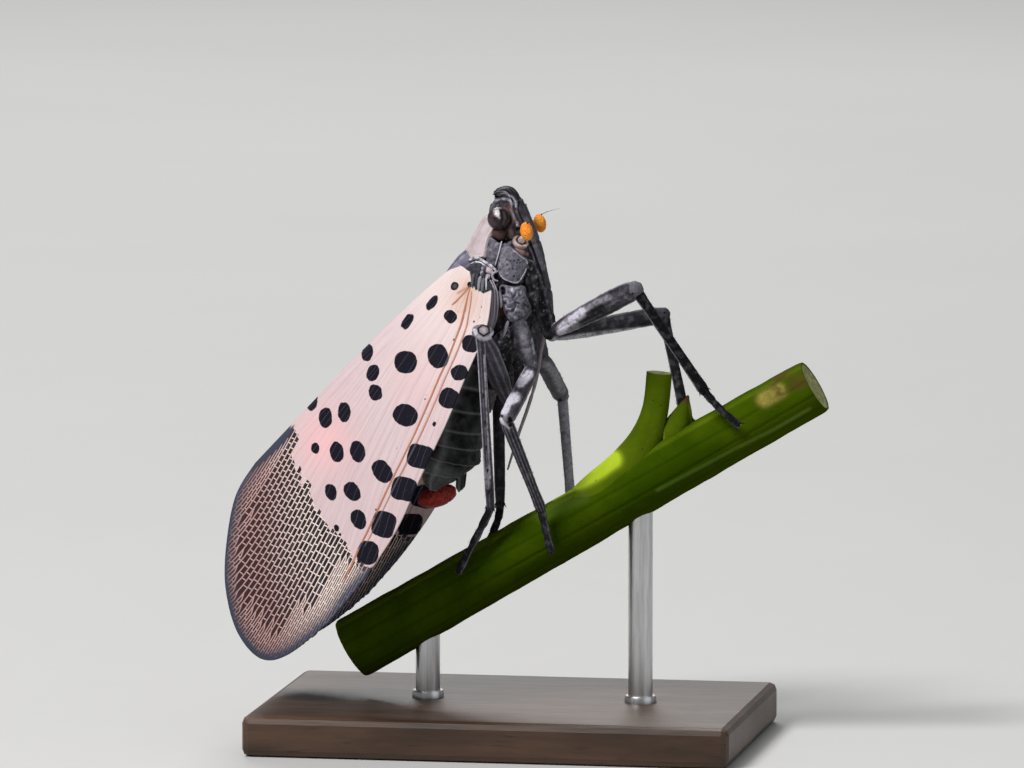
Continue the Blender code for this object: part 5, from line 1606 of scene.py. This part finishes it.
def makeAbdomen():
    grid, rows, angles = loftGrid(abdomen["sections"], abdomen["sides"], abdomen["steps"])
    placed = grid[..., 0] + abdomen["lean"] * (grid[..., 2] + 1.5)
    ends = np.array(abdomen["ringEnds"])
    part = np.interp(-placed, -ends, np.arange(len(ends))) % 1.0
    step = abdomen["relief"] * (np.clip(part / 0.85, 0, 1) ** 0.7 - np.clip((part - 0.90) / 0.10, 0, 1))
    normals = gridNormals(grid, True)
    outward = np.sign(np.sum(normals * (grid - grid.mean(axis=1, keepdims=True)), axis=-1))
    normals = normals * outward[..., None]
    folds = creases(grid, 1.6, 4.0)
    small = wobble(grid, 4.0, 6.0)
    pleura = np.exp(-((np.sin(angles) + 0.10) / 0.14) ** 2)[None, :]
    lift = step - 0.06 - 0.04 * folds + 0.02 * small + 0.05 * pleura
    grid = grid + normals * lift[..., None]
    ringEdge = np.exp(-((part - 0.88) / 0.045) ** 2)
    end = np.clip((-grid[..., 0] - 7.9) / 0.5, 0, 1)
    bloom = 0.55 * ringEdge + 0.42 * pleura + 0.10 * np.clip(small, 0, 1) + 0.35 * end
    back = np.clip((np.sin(angles) - 0.30) / 0.25, 0, 1)[None, :] * (part < 0.55) * (1 - ringEdge)
    shape = Shape()
    shape.grid(grid, True, True, bloom=np.clip(bloom, 0, 1).reshape(-1),
               back=np.clip(back, 0, 1).reshape(-1))
    # red plate at the end, the dark flap before it
    centre, radii, (forward, up) = abdomen["endPiece"]
    axes = np.array(((forward, 0.0, up), (0.0, 1.0, 0.0), (-up, 0.0, forward)))
    lobe, ball = ballGrid(centre, radii, axes, rows=60, columns=80)
    wrinkle = wobble(lobe, 3.0, 1.0)
    lobe = np.array(centre) + (lobe - centre) * (1 + 0.08 * wrinkle[..., None])
    shape.grid(lobe, True, True, red=1.0)
    for side in (1.0, -1.0):
        path = smoothRows(abdomen["flap"], 12) * (1.0, -side, 1.0)
        share = np.linspace(0, 1, len(path))
        radii = 0.20 * np.interp(share, (0, 0.3, 0.8, 1), (0.6, 1.0, 0.9, 0.35))
        grid, shares, angles = tubeGrid(path, radii, 20)
        shape.grid(grid, True, True, bloom=np.repeat(0.7 * (shares > 0.85), 20)
                   + 0.5 * np.tile(np.abs(np.cos(angles)) ** 8, len(shares)))
    shape.build("abdomenRings", "abdomen", ["abdomen"])
    print("abdomen made")


# ---- legs

legs = {
    "fore_right": ((3.08, -1.35, 23.50), (4.12, -1.60, 20.31), (8.69, -3.50, 22.81),
                   (11.86, -2.00, 17.71), (12.52, -2.08, 16.99), (13.49, -2.02, 16.11)),
    "fore_left": ((2.66, 1.35, 23.50), (3.72, 1.60, 19.85), (8.93, 3.60, 20.77),
                  (10.16, 2.30, 16.21), (10.67, 2.22, 15.54), (11.60, 2.06, 14.99)),
    "mid_right": ((2.56, -1.50, 20.71), (3.30, -1.75, 18.58), (2.62, -5.20, 16.46),
                  (3.81, -2.15, 11.77), (4.05, -2.10, 10.68), (4.28, -2.00, 9.68)),
    "mid_left": ((2.63, 1.50, 20.74), (3.23, 1.75, 18.60), (3.64, 5.00, 16.39),
                 (4.55, 2.20, 11.66), (4.77, 2.12, 10.69), (5.22, 1.84, 9.85)),
    "hind_right": ((1.65, -1.35, 19.60), (2.00, -1.35, 17.07), (1.42, -5.65, 20.86),
                   (1.31, -2.10, 11.71), (0.88, -2.10, 10.82), (-0.31, -1.92, 8.54)),
    "hind_left": ((1.65, 1.35, 19.60), (2.10, 1.40, 17.20), (0.25, 5.60, 20.70),
                  (1.00, 2.30, 11.28), (0.88, 2.22, 10.50), (0.28, 1.92, 9.04)),
}
legForm = {
    # share of the length, radius
    "coxa": ((0.0, 0.40), (0.15, 0.48), (0.45, 0.50), (0.8, 0.38), (1.0, 0.30)),
    "femur": ((0.0, 0.26), (0.06, 0.34), (0.25, 0.40), (0.6, 0.46), (0.85, 0.44), (0.97, 0.36),
              (1.0, 0.28)),
    "tibia": ((0.0, 0.26), (0.05, 0.29), (0.12, 0.26), (0.5, 0.245), (0.88, 0.26), (0.97, 0.29),
              (1.0, 0.24)),
    "tarsus": ((0.0, 0.17), (0.05, 0.19), (0.26, 0.21), (0.30, 0.15), (0.34, 0.18), (0.55, 0.20),
               (0.59, 0.14), (0.63, 0.16), (0.92, 0.21), (1.0, 0.15)),
    "rings": {"coxa": 60, "femur": 150, "tibia": 160, "tarsus": 90},
    "sides": 72, "relief": 0.07,
    "claw": 0.42, "clawSpread": 0.30, "clawRadius": 0.075,
    "hairs": {"femur": 60, "tibia": 110, "tarsus": 60, "coxa": 20},
    "hairLength": 0.13, "hairRadius": 0.008,
    "spines": (0.35, 0.50, 0.64, 0.77, 0.89), "spineLength": 0.42, "spineRadius": 0.08,
}
legShapes = {    # legs whose parts differ from the usual outline
    "fore_right": {"femur": ((0.0, 0.20), (0.1, 0.33), (0.25, 0.44), (0.5, 0.50), (0.75, 0.54),
                             (0.95, 0.50), (1.0, 0.35))},
    "fore_left": {"femur": ((0.0, 0.25), (0.1, 0.36), (0.3, 0.42), (0.6, 0.45), (0.9, 0.44),
                            (1.0, 0.34))},
    "mid_right": {"femur": ((0.0, 0.28), (0.1, 0.38), (0.5, 0.42), (0.9, 0.40), (1.0, 0.31)),
                  "tibia": ((0.0, 0.27), (0.06, 0.32), (0.3, 0.30), (0.8, 0.25), (0.97, 0.28),
                            (1.0, 0.22))},
    "mid_left": {"femur": ((0.0, 0.36), (0.15, 0.43), (0.5, 0.44), (0.9, 0.42), (1.0, 0.32)),
                 "tibia": ((0.0, 0.26), (0.3, 0.245), (0.8, 0.23), (0.97, 0.25), (1.0, 0.20))},
    "hind_right": {"femur": ((0.0, 0.34), (0.3, 0.50), (0.7, 0.54), (0.93, 0.36), (1.0, 0.22)),
                   "tibia": ((0.0, 0.23), (0.1, 0.205), (0.5, 0.215), (0.9, 0.23), (1.0, 0.20))},
    "hind_left": {"tibia": ((0.0, 0.26), (0.1, 0.28), (0.5, 0.30), (0.9, 0.27), (1.0, 0.22))},
}
# tone of each part, then its lengthwise lines: turn from the camera's side, pale (above 0) or
# dark (below 0), and width, both in degrees
legSkin = {
    "fore_right": {"coxa": (0.01, ((-55, 0.14, 12), (40, 0.04, 12))),
                   "femur": (0.07, ((-78, 0.75, 9), (4, -0.55, 7), (42, 0.10, 9), (74, 0.40, 9))),
                   "tibia": (0.02, ((64, 0.50, 9),)), "tarsus": (0.03, ((60, 0.15, 12),))},
    "fore_left": {"coxa": (0.08, ()), "femur": (0.12, ((72, 0.75, 10), (-10, -0.4, 9))),
                  "tibia": (0.04, ((64, 0.20, 9),)), "tarsus": (0.04, ())},
    "mid_right": {"coxa": (0.42, ()),
                  "femur": (0.26, ((62, 0.50, 10), (5, -0.6, 9), (-62, 0.35, 10))),
                  "tibia": (0.18, ((-66, 0.60, 6), (-28, 0.38, 5), (6, 0.38, 5), (38, 0.40, 5),
                                   (72, 0.40, 6))),
                  "tarsus": (0.05, ((-50, 0.2, 14),))},
    "mid_left": {"coxa": (0.40, ()), "femur": (0.48, ((-20, 0.05, 40),)),
                 "tibia": (0.95, ((20, 0.46, 60), (-60, 0.46, 60))), "tarsus": (0.06, ())},
    "hind_right": {"coxa": (0.12, ()),
                   "femur": (0.34, ((-64, 0.25, 6), (-36, -0.4, 6), (-16, 0.22, 5), (4, -0.45, 6),
                                    (22, 0.25, 5), (40, -0.3, 6), (64, 0.45, 7))),
                   "tibia": (0.30, ((-66, 0.95, 9), (64, 0.95, 9), (-24, -0.45, 9), (10, 0.30, 5),
                                    (34, -0.30, 7))),
                   "tarsus": (0.05, ((-50, 0.3, 14),))},
    "hind_left": {"coxa": (0.10, ()), "femur": (0.10, ()), "tibia": (0.13, ((60, 0.30, 10),)),
                  "tarsus": (0.05, ())},
}
# marks where they fall in the photo's plane: field, strength, half width, line, all in mm
legMarks = {
    # the first two marks, the white facet at the femur's base, are painted highlights
    "fore_right": (("bloom", 1.0, 0.20, ((2.40, 2.68), (2.86, 3.10), (3.38, 3.48))),
                   ("bloom", 0.7, 0.10, ((2.30, 2.50), (2.65, 2.40))),
                   ("bloom", 1.0, 0.05, ((1.985, 3.33),)),
                   ("bloom", 0.25, 0.20, ((2.60, 2.60), (3.10, 2.85))),
                   ("bloom", 0.30, 0.13, ((3.38, 3.52), (4.1, 3.98), (4.7, 4.22))),
                   ("bloom", 0.10, 0.26, ((4.7, 4.0), (5.3, 4.22)))),
    "fore_left": (("bloom", 0.8, 0.14, ((1.67, 2.27), (2.06, 2.14), (2.45, 2.12), (2.94, 2.24),
                                        (4.31, 2.42), (6.27, 2.66))),),
    # the two strongest marks, the femur's white facets, and the faint broad mark on the coxa (strength
    # 0.14) are painted highlights
    "mid_right": (("bloom", 1.45, 0.18, ((0.42, 0.04), (0.84, 0.48))),
                  ("bloom", 1.45, 0.21, ((-0.40, -1.26), (-0.17, -0.82), (0.16, -0.64))),
                  ("bloom", 0.9, 0.07, ((-0.59, -1.62), (-0.44, -1.91), (-0.15, -2.10))),
                  ("bloom", 0.14, 0.20, ((0.55, 2.6), (0.62, 2.0), (0.80, 1.5))),
                  ("bloom", 0.40, 0.09, ((0.52, 3.22), (0.72, 3.02))),
                  ("bloom", 0.45, 0.05, ((0.98, 2.2), (1.08, 1.5))),
                  ("pit", 0.5, 0.10, ((0.25, 2.4), (0.35, 1.6), (0.62, 1.1))),
                  ("pit", 1.0, 0.07, ((-0.49, -1.56),)),
                  ("pit", 1.0, 0.09, ((-0.12, -1.67), (-0.10, -2.01)))),
    "mid_left": (("bloom", 0.28, 0.20, ((1.60, 0.95), (2.05, 0.65), (2.45, -0.30))),
                 ("pit", 0.9, 0.07, ((2.38, -0.80),))),
    "hind_right": (("bloom", 0.4, 0.12, ((-1.18, -4.2), (-1.18, -5.0))),
                   ("bloom", 0.75, 0.04, ((-1.36, 1.4), (-1.19, -2.33), (-1.07, -4.6))),
                   ("bloom", 0.30, 0.04, ((-1.68, 1.6), (-1.48, -2.3), (-1.32, -4.6))),
                   ("pink", 0.5, 0.16, ((-1.38, 2.60),)),
                   ("bloom", 0.8, 0.13, ((-1.38, 2.60),)),
                   ("bloom", 1.0, 0.08, ((-1.81, 2.60), (-1.67, 2.30), (-1.42, 2.16), (-1.08, 2.25),
                                         (-0.86, 2.50))),
                   ("pit", 1.0, 0.035, ((-1.64, 2.70), (-1.42, 2.87), (-1.13, 2.75), (-1.10, 2.50),
                                        (-1.37, 2.33), (-1.62, 2.50), (-1.64, 2.70)))),
}
stemLine = {"low": (-6.0, 0.0, 4.30), "high": (17.0, 0.0, 17.83), "radiusLow": 1.60,
            "radiusHigh": 1.38}


def farFromLine(places, line):    # distance from places in the photo's plane to a line in it
    line = np.asarray(line, float)
    if len(line) == 1:
        return np.linalg.norm(places - line[0], axis=-1)
    best = np.full(places.shape[:-1], 1e9)
    for start, end in zip(line[:-1], line[1:]):
        along = end - start
        share = np.clip(((places - start) @ along) / (along @ along), 0, 1)
        best = np.minimum(best, np.linalg.norm(places - start - share[..., None] * along, axis=-1))
    return best


def markFields(points, marks, fields):    # adds marks seen from the camera to a shape's fields
    away = points - np.array(camera["target"])
    places = np.stack((away @ cameraRight, away @ cameraUp), axis=-1)
    rough = np.clip(0.95 + 0.8 * wobble(points, 5.0, 11.0), 0.25, 1.2)
    for field, strength, width, line in marks:
        mark = strength * np.exp(-(np.clip(farFromLine(places, line) - width * 0.6, 0, None)
                                   / (width * 0.55)) ** 2)
        if field == "bloom":    # wax and painted highlights are patchy and cover the dark lines below them
            mark = mark * rough
            fields["pit"] = fields.get("pit", np.zeros(mark.size)) * (1 - np.clip(mark.reshape(-1), 0, 1))
        fields[field] = np.clip(fields.get(field, 0.0) + mark.reshape(-1), 0, 1)


def ridges(lines, angles):    # how pale and how dark the lengthwise lines make each angle
    pale, dark = np.zeros(len(angles)), np.zeros(len(angles))
    for turn, strength, width in lines:
        gap = (np.degrees(angles) - turn + 180.0) % 360.0 - 180.0
        line = abs(strength) * np.exp(-(gap / width) ** 2)
        if strength > 0:
            pale = pale + line
        else:
            dark = dark + line
    return pale, dark




def scatterHairs(shape, grid, kind, tag):
    rows, sides = grid.shape[:2]
    centres = grid.mean(axis=1)
    tangents = unit(np.gradient(centres, axis=0))
    for _ in range(legForm["hairs"][kind]):
        row = random.randint(5, rows - 6)
        column = random.randrange(sides)
        root = grid[row, column]
        outward = unit(root - centres[row])
        length = legForm["hairLength"] * random.uniform(0.6, 1.2)
        lean = tangents[row] * random.uniform(0.5, 1.1)
        tip = root + unit(outward + lean) * length
        addSpike(shape, root - outward * 0.02, tip, legForm["hairRadius"], tag, 3)


def makeLegs():
    for name, joints in legs.items():
        joints = np.array(joints)
        shape = Shape()
        paths = {"coxa": joints[0:2], "femur": joints[1:3], "tibia": joints[2:4],
                 "tarsus": joints[3:6]}
        bendPlane = unit(np.cross(joints[3] - joints[2], joints[2] - joints[1]))
        marks = legMarks.get(name, ())
        for kind, path in paths.items():
            count = legForm["rings"][kind]
            points = evenPoints(path, count)
            profile = np.array(legShapes.get(name, {}).get(kind, legForm[kind]))
            radii = np.interp(np.linspace(0, 1, count), profile[:, 0], profile[:, 1])
            radii = np.convolve(np.pad(radii, 3, "edge"), np.ones(7) / 7, "valid")
            tone, lines = legSkin[name][kind]

            def form(share, angle):
                pale, dark = ridges(lines, angle)
                return 1.0 + legForm["relief"] * (pale - 1.6 * dark)
            grid, shares, angles = tubeGrid(points, radii, legForm["sides"], form, cameraBack)
            centre = grid.mean(axis=1, keepdims=True)
            small = wobble(grid, 3.0 if kind != "coxa" else 2.2, 2.0)
            amount = {"coxa": 0.18, "femur": 0.04, "tibia": 0.02, "tarsus": 0.05}[kind]
            grid = centre + (grid - centre) * (1 + amount * small)[..., None]
            pale, dark = ridges(lines, angles)
            rough = 0.75 + 0.6 * wobble(grid, 6.0, 7.0)
            bloom = pale[None, :] * rough + 0.10 * np.clip(small, 0, 1)
            fields = {"bloom": np.clip(bloom, 0, 1).reshape(-1),
                      "pit": np.clip(dark[None, :] * rough, 0, 1).reshape(-1)}
            if kind == "coxa":
                specks = np.clip(wobble(grid, 5.0, 9.0) * 2.5 - 1.0, 0, 1)
                fields["bloom"] = np.clip(bloom + 0.30 * specks, 0, 1).reshape(-1)
            kneeShare = np.exp(-((1 - shares) / 0.10) ** 2) if kind == "femur" else 0 * shares
            fields["tone"] = (tone + 0.12 * kneeShare[:, None] + 0 * small).reshape(-1)
            markFields(grid, marks, fields)
            shape.grid(grid, True, True, **fields)
            scatterHairs(shape, grid, kind, 1)
        addKnee(shape, name, joints[2], bendPlane, marks)
        ankle = unit(joints[3] - joints[2])
        for turn in np.linspace(0, 2 * math.pi, 7, endpoint=False):    # spurs round the ankle
            spread = np.cos(turn) * bendPlane + np.sin(turn) * np.cross(ankle, bendPlane)
            root = joints[3] - ankle * 0.12 + spread * 0.20
            addSpike(shape, root, root + unit(ankle + spread * 0.55) * 0.28, 0.05, 2, 6)
        if name.startswith("hind"):
            outward = unit(np.array((0.35, joints[2][1], 0.0)))
            down = unit(joints[3] - joints[2])
            for share in legForm["spines"]:
                root = joints[2] + (joints[3] - joints[2]) * share + outward * 0.12
                tip = root + (outward + down * 0.6) * legForm["spineLength"]
                addSpike(shape, root, tip, legForm["spineRadius"], 2, 8)
        addFoot(shape, joints)
        shape.build("leg." + name, ("legChitin", "hair", "claw"),
                    ["leg_" + name + "_" + kind for kind in paths], inBody=False)
    print("legs made")


kneeCap = {"shift": (0.12, 0.0, -0.04), "radii": (0.54, 0.34, 0.36)}    # the right hind leg's


def addKnee(shape, name, knee, axis, marks):    # a round joint with a dark pivot on each side
    radius = {"fore_right": 0.40, "hind_right": 0.16}.get(name, 0.31)
    grid, ball = ballGrid(knee, (radius, radius, radius), rows=40, columns=56)
    grid = knee + (grid - knee) * (1 + 0.10 * wobble(grid, 4.0, 1.0))[..., None]
    fields = {"bloom": np.full(grid.shape[0] * grid.shape[1], 0.15)}
    markFields(grid, marks, fields)
    tone = {"fore_right": 0.28, "mid_left": 0.5, "mid_right": 0.4}.get(name, 0.25)
    shape.grid(grid, True, True, tone=tone, **fields)
    for sign in (1.0, -1.0):
        spot = np.asarray(knee) + axis * radius * 0.88 * sign
        pivot, ball = ballGrid(spot, (0.08, 0.08, 0.08), rows=16, columns=20)
        shape.grid(pivot, True, True, pit=1.0)
    if name == "hind_right":
        centre = np.array(knee) + kneeCap["shift"]
        cap, ball = ballGrid(centre, kneeCap["radii"], rows=60, columns=80)
        cap = centre + (cap - centre) * (1 + 0.10 * wobble(cap, 3.0, 5.0))[..., None]
        fields = {"bloom": np.full(cap.shape[0] * cap.shape[1], 0.20)}
        markFields(cap, marks, fields)
        shape.grid(cap, True, True, tone=0.40, **fields)


def addFoot(shape, joints):
    along = unit(joints[5] - joints[4])
    low, high = np.array(stemLine["low"]), np.array(stemLine["high"])
    stem = unit(high - low)
    centre = low + stem * ((joints[5] - low) @ stem)
    outward = unit(joints[5] - centre)
    beside = unit(np.cross(along, outward))
    start = joints[5] - along * 0.12
    for sign in (1.0, -1.0):
        tip = start + along * legForm["claw"] + beside * legForm["clawSpread"] * sign - outward * 0.10
        addSpike(shape, start + beside * 0.05 * sign, tip, legForm["clawRadius"], 2, 8,
                 bend=outward * 0.45)
        pad, _ = ballGrid(start + along * 0.18 + beside * 0.07 * sign - outward * 0.05,
                          (0.12, 0.08, 0.08), rows=12, columns=16)
        shape.grid(pad, True, True, bloom=0.35)


# ---- stem, stalk stub and bud

perch = {
    "stalkPath": ((5.20, 0.0, 10.90), (6.40, 0.0, 12.05), (7.70, 0.0, 13.40), (8.65, 0.0, 14.95),
                  (9.15, 0.0, 16.50), (9.35, 0.0, 18.30)),
    "stalkRadii": (1.25, 1.30, 1.15, 0.86, 0.68, 0.66),
    "budFoot": (9.95, 0.0, 14.75), "budTip": (10.72, 0.0, 17.15),
    "budRadii": (0.55, 0.74, 0.66, 0.42, 0.07),
    "grooves": 11, "grooveDepth": 0.018, "sides": 240, "rows": 220,
    # patches seen from the camera: field, strength, half width, line in the photo's plane in mm
    # the light marks are a painted pool of sunlight
    "marks": (("light", 1.1, 0.42, ((3.3, -4.7), (4.2, -4.2), (4.9, -3.7))),
              ("light", 0.8, 0.12, ((2.0, -5.6), (3.2, -5.0))),
              # the gloss marks are painted highlights along the stem
              ("gloss", 0.30, 0.35, ((1.4, -6.4), (3.4, -5.5))),
              ("gloss", 0.8, 0.22, ((9.2, -0.5), (11.0, 0.55), (13.6, 2.1))),
              ("gloss", 0.45, 0.08, ((7.1, -5.2), (10.8, -3.2), (12.7, -2.25), (14.5, -1.2))),
              ("yellow", 1.0, 0.34, ((12.3, -0.75), (13.0, -0.35))),
              ("brown", 0.9, 0.7, ((13.3, -0.2), (15.0, 0.9))),
              ("groove", 1.0, 0.05, ((5.88, -2.06), (6.86, -2.45)))),
}


def makePerch():
    shape = Shape()
    low, high = np.array(stemLine["low"]), np.array(stemLine["high"])
    share = np.linspace(0, 1, perch["rows"])
    path = low + (high - low) * share[:, None]
    radii = stemLine["radiusLow"] + (stemLine["radiusHigh"] - stemLine["radiusLow"]) * share

    def form(place, angle):
        wander = 0.35 * math.sin(place * 7.0)
        return 1.0 - perch["grooveDepth"] * np.clip(np.cos(perch["grooves"] * angle + wander), 0, 1) ** 4
    grid, shares, angles = tubeGrid(path, radii, perch["sides"], form, (0.0, 1.0, 0.0), False)
    centre = grid.mean(axis=1, keepdims=True)
    small = wobble(grid, 0.7, 3.0)
    inward = np.clip(small * 0.02 - 0.012, -0.03, 0.0)
    edge = np.minimum(share, 1 - share)
    inward = inward - 0.03 * np.exp(-(edge / 0.004) ** 2)[:, None]
    grid = centre + (grid - centre) * (1 + inward)[..., None]
    wander = 0.35 * np.sin(share * 7.0)
    groove = np.clip(np.cos(perch["grooves"] * angles[None, :] + wander[:, None]), 0, 1) ** 4
    upward = (grid - centre)[..., 2] / radii[:, None]
    # the stem is painted darker towards its underside: painted shade
    under = np.clip(-upward * 0.9 + 0.1, 0, 1)
    fields = {"groove": groove.reshape(-1), "under": under.reshape(-1),
              # painted light: a narrow lit band along the top of the stem
              "light": (0.10 * np.exp(-((upward - 0.72) / 0.09) ** 2)).reshape(-1)}
    markFields(grid, perch["marks"], fields)
    shape.grid(grid, True, False, **fields)
    for row, away in ((grid[0], low - high), (grid[-1], high - low)):
        middle = row.mean(axis=0)
        rings = np.array([middle + (row - middle) * size
                          for size in (1.0, 0.94, 0.90, 0.55, 0.20, 0.02)])
        rings[2:4] -= unit(away) * 0.05
        pith = np.repeat((0.0, 0.2, 1.0, 1.0, 1.0, 1.0), perch["sides"])
        grooveRing = np.repeat((0.0, 1.0, 0.3, 0.0, 0.5, 1.0), perch["sides"])
        faces = gridFaces(6, perch["sides"], True)
        faces.append(list(range(5 * perch["sides"], 6 * perch["sides"])))
        shape.add(rings, faces, 0, pith=pith, groove=grooveRing)
    stalk = smoothRows(perch["stalkPath"], 16)
    stalkRadii = smoothRows([(radius,) for radius in perch["stalkRadii"]], 16)[:, 0]

    def channel(place, angle):    # the stalk is grooved on its upper side
        return 1.0 - 0.16 * place * np.exp(-((angle - 1.5 * math.pi) / 0.45) ** 2)
    grid, shares, angles = tubeGrid(stalk, stalkRadii, 96, channel, (0.0, 1.0, 0.0), False)
    centre = grid.mean(axis=1, keepdims=True)
    right = (grid - centre)[..., 0] / stalkRadii[:, None]
    # painted light on the stalk's side towards +x
    fields = {"light": (0.10 + 0.12 * np.clip(right, 0, 1)).reshape(-1),
              # painted shade on the stalk's side away from +x
              "under": np.clip(-right * 0.4 - 0.1, 0, 1).reshape(-1)}
    markFields(grid, perch["marks"], fields)
    shape.grid(grid, True, True, **fields)
    top = stalk[-1]
    topAlong = unit(stalk[-1] - stalk[-2])
    ring = grid[-1]
    cap = np.array([top + (ring - top) * size + topAlong * 0.01 for size in (0.98, 0.86, 0.4, 0.03)])
    faces = gridFaces(4, 96, True) + [list(range(3 * 96, 4 * 96))]
    shape.add(cap, faces, 0, pith=np.repeat((0.2, 1.0, 1.0, 1.0), 96),
              groove=np.repeat((0.8, 0.0, 0.3, 1.0), 96))
    foot, tip = np.array(perch["budFoot"]), np.array(perch["budTip"])
    bud = foot + (tip - foot) * np.linspace(0, 1, 60)[:, None]
    budRadii = np.interp(np.linspace(0, 1, 60), np.linspace(0, 1, 5), perch["budRadii"])
    budRadii = np.convolve(np.pad(budRadii, 3, "edge"), np.ones(7) / 7, "valid")

    def scales(place, angle):    # two scales lap over each other
        return 0.92 + 0.08 * np.clip(np.cos(angle - 0.8 + place * 1.5) * 3, -1, 1)
    grid, shares, angles = tubeGrid(bud, budRadii, 96, scales)
    redTip = np.clip((shares - 0.84) / 0.12, 0, 1)[:, None] * np.ones(grid.shape[:2])
    lap = np.exp(-((np.cos(angles[None, :] - 0.8 + shares[:, None] * 1.5)) / 0.12) ** 2)
    # the bud is lightened with the same painted sunlit green, most where its scales lap
    shape.grid(grid, True, True, red=redTip.reshape(-1), light=(0.10 + 0.35 * lap).reshape(-1))
    shape.build("perchStem", "bark", ["perch_stem"], inBody=False)
    print("perch made")


# ---- stand

stand = {"centre": (2.0, 0.0), "size": (24.0, 16.0, 2.0), "edge": 0.35, "rodRadius": 0.60,
         "rods": {"stand_rod_low": -2.2, "stand_rod_high": 8.4}, "collar": 0.18}


def makeStand():
    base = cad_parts["stand_base"]
    base.data.materials.clear()
    base.data.materials.append(finishes["baseWood"])
    slope = (stemLine["high"][2] - stemLine["low"][2]) / (stemLine["high"][0] - stemLine["low"][0])
    for node, place in stand["rods"].items():
        shape = Shape()
        top = stemLine["low"][2] + (place - stemLine["low"][0]) * slope - 1.2
        floor = stand["size"][2]
        path = np.array([(place, 0.0, z) for z in np.linspace(floor - 0.3, top, 30)])
        grid, _, _ = tubeGrid(path, np.full(30, stand["rodRadius"]), 64, rounded=False)
        shape.grid(grid, True, True)
        levels = ((0.0, 0.0), (1.0, 0.0), (1.0, 0.7), (0.8, 1.0), (0.0, 1.0))
        ring = np.linspace(0, 2 * math.pi, 64, endpoint=False)
        collar = []
        for wide, high in levels:
            radius = stand["rodRadius"] * 0.9 + wide * (stand["collar"] + stand["rodRadius"] * 0.1)
            collar.append(np.stack((place + np.cos(ring) * radius, np.sin(ring) * radius,
                                    np.full(64, floor + high * 0.35)), axis=1))
        shape.grid(np.array(collar), True, True)
        piece = shape.build(node.replace("stand_rod_", "standRod."), "rodSteel", [node],
                            inBody=False)
        piece.data.set_sharp_from_angle(angle=math.radians(35))
    print("stand made")


def makeFloor():
    mesh = bpy.data.meshes.new("floor")
    mesh.from_pydata([(-3, -3, 0), (3, -3, 0), (3, 3, 0), (-3, 3, 0)], [], [(0, 1, 2, 3)])
    mesh.materials.append(finishes["floor"])
    floor = bpy.data.objects.new("floor", mesh)
    scene.collection.objects.link(floor)


makeCamera()
makeLight()
bodyLooks()
wingLooks()
plantLooks()
standLooks()
makeForewings()
makeHindwings()
makeThorax()
makePronotum()
makeMesonotum()
makeTegulae()
makeHead()
makeEyes()
makeAntennae()
makeRostrum()
makeAbdomen()
makeLegs()
makePerch()
makeStand()
makeFloor()
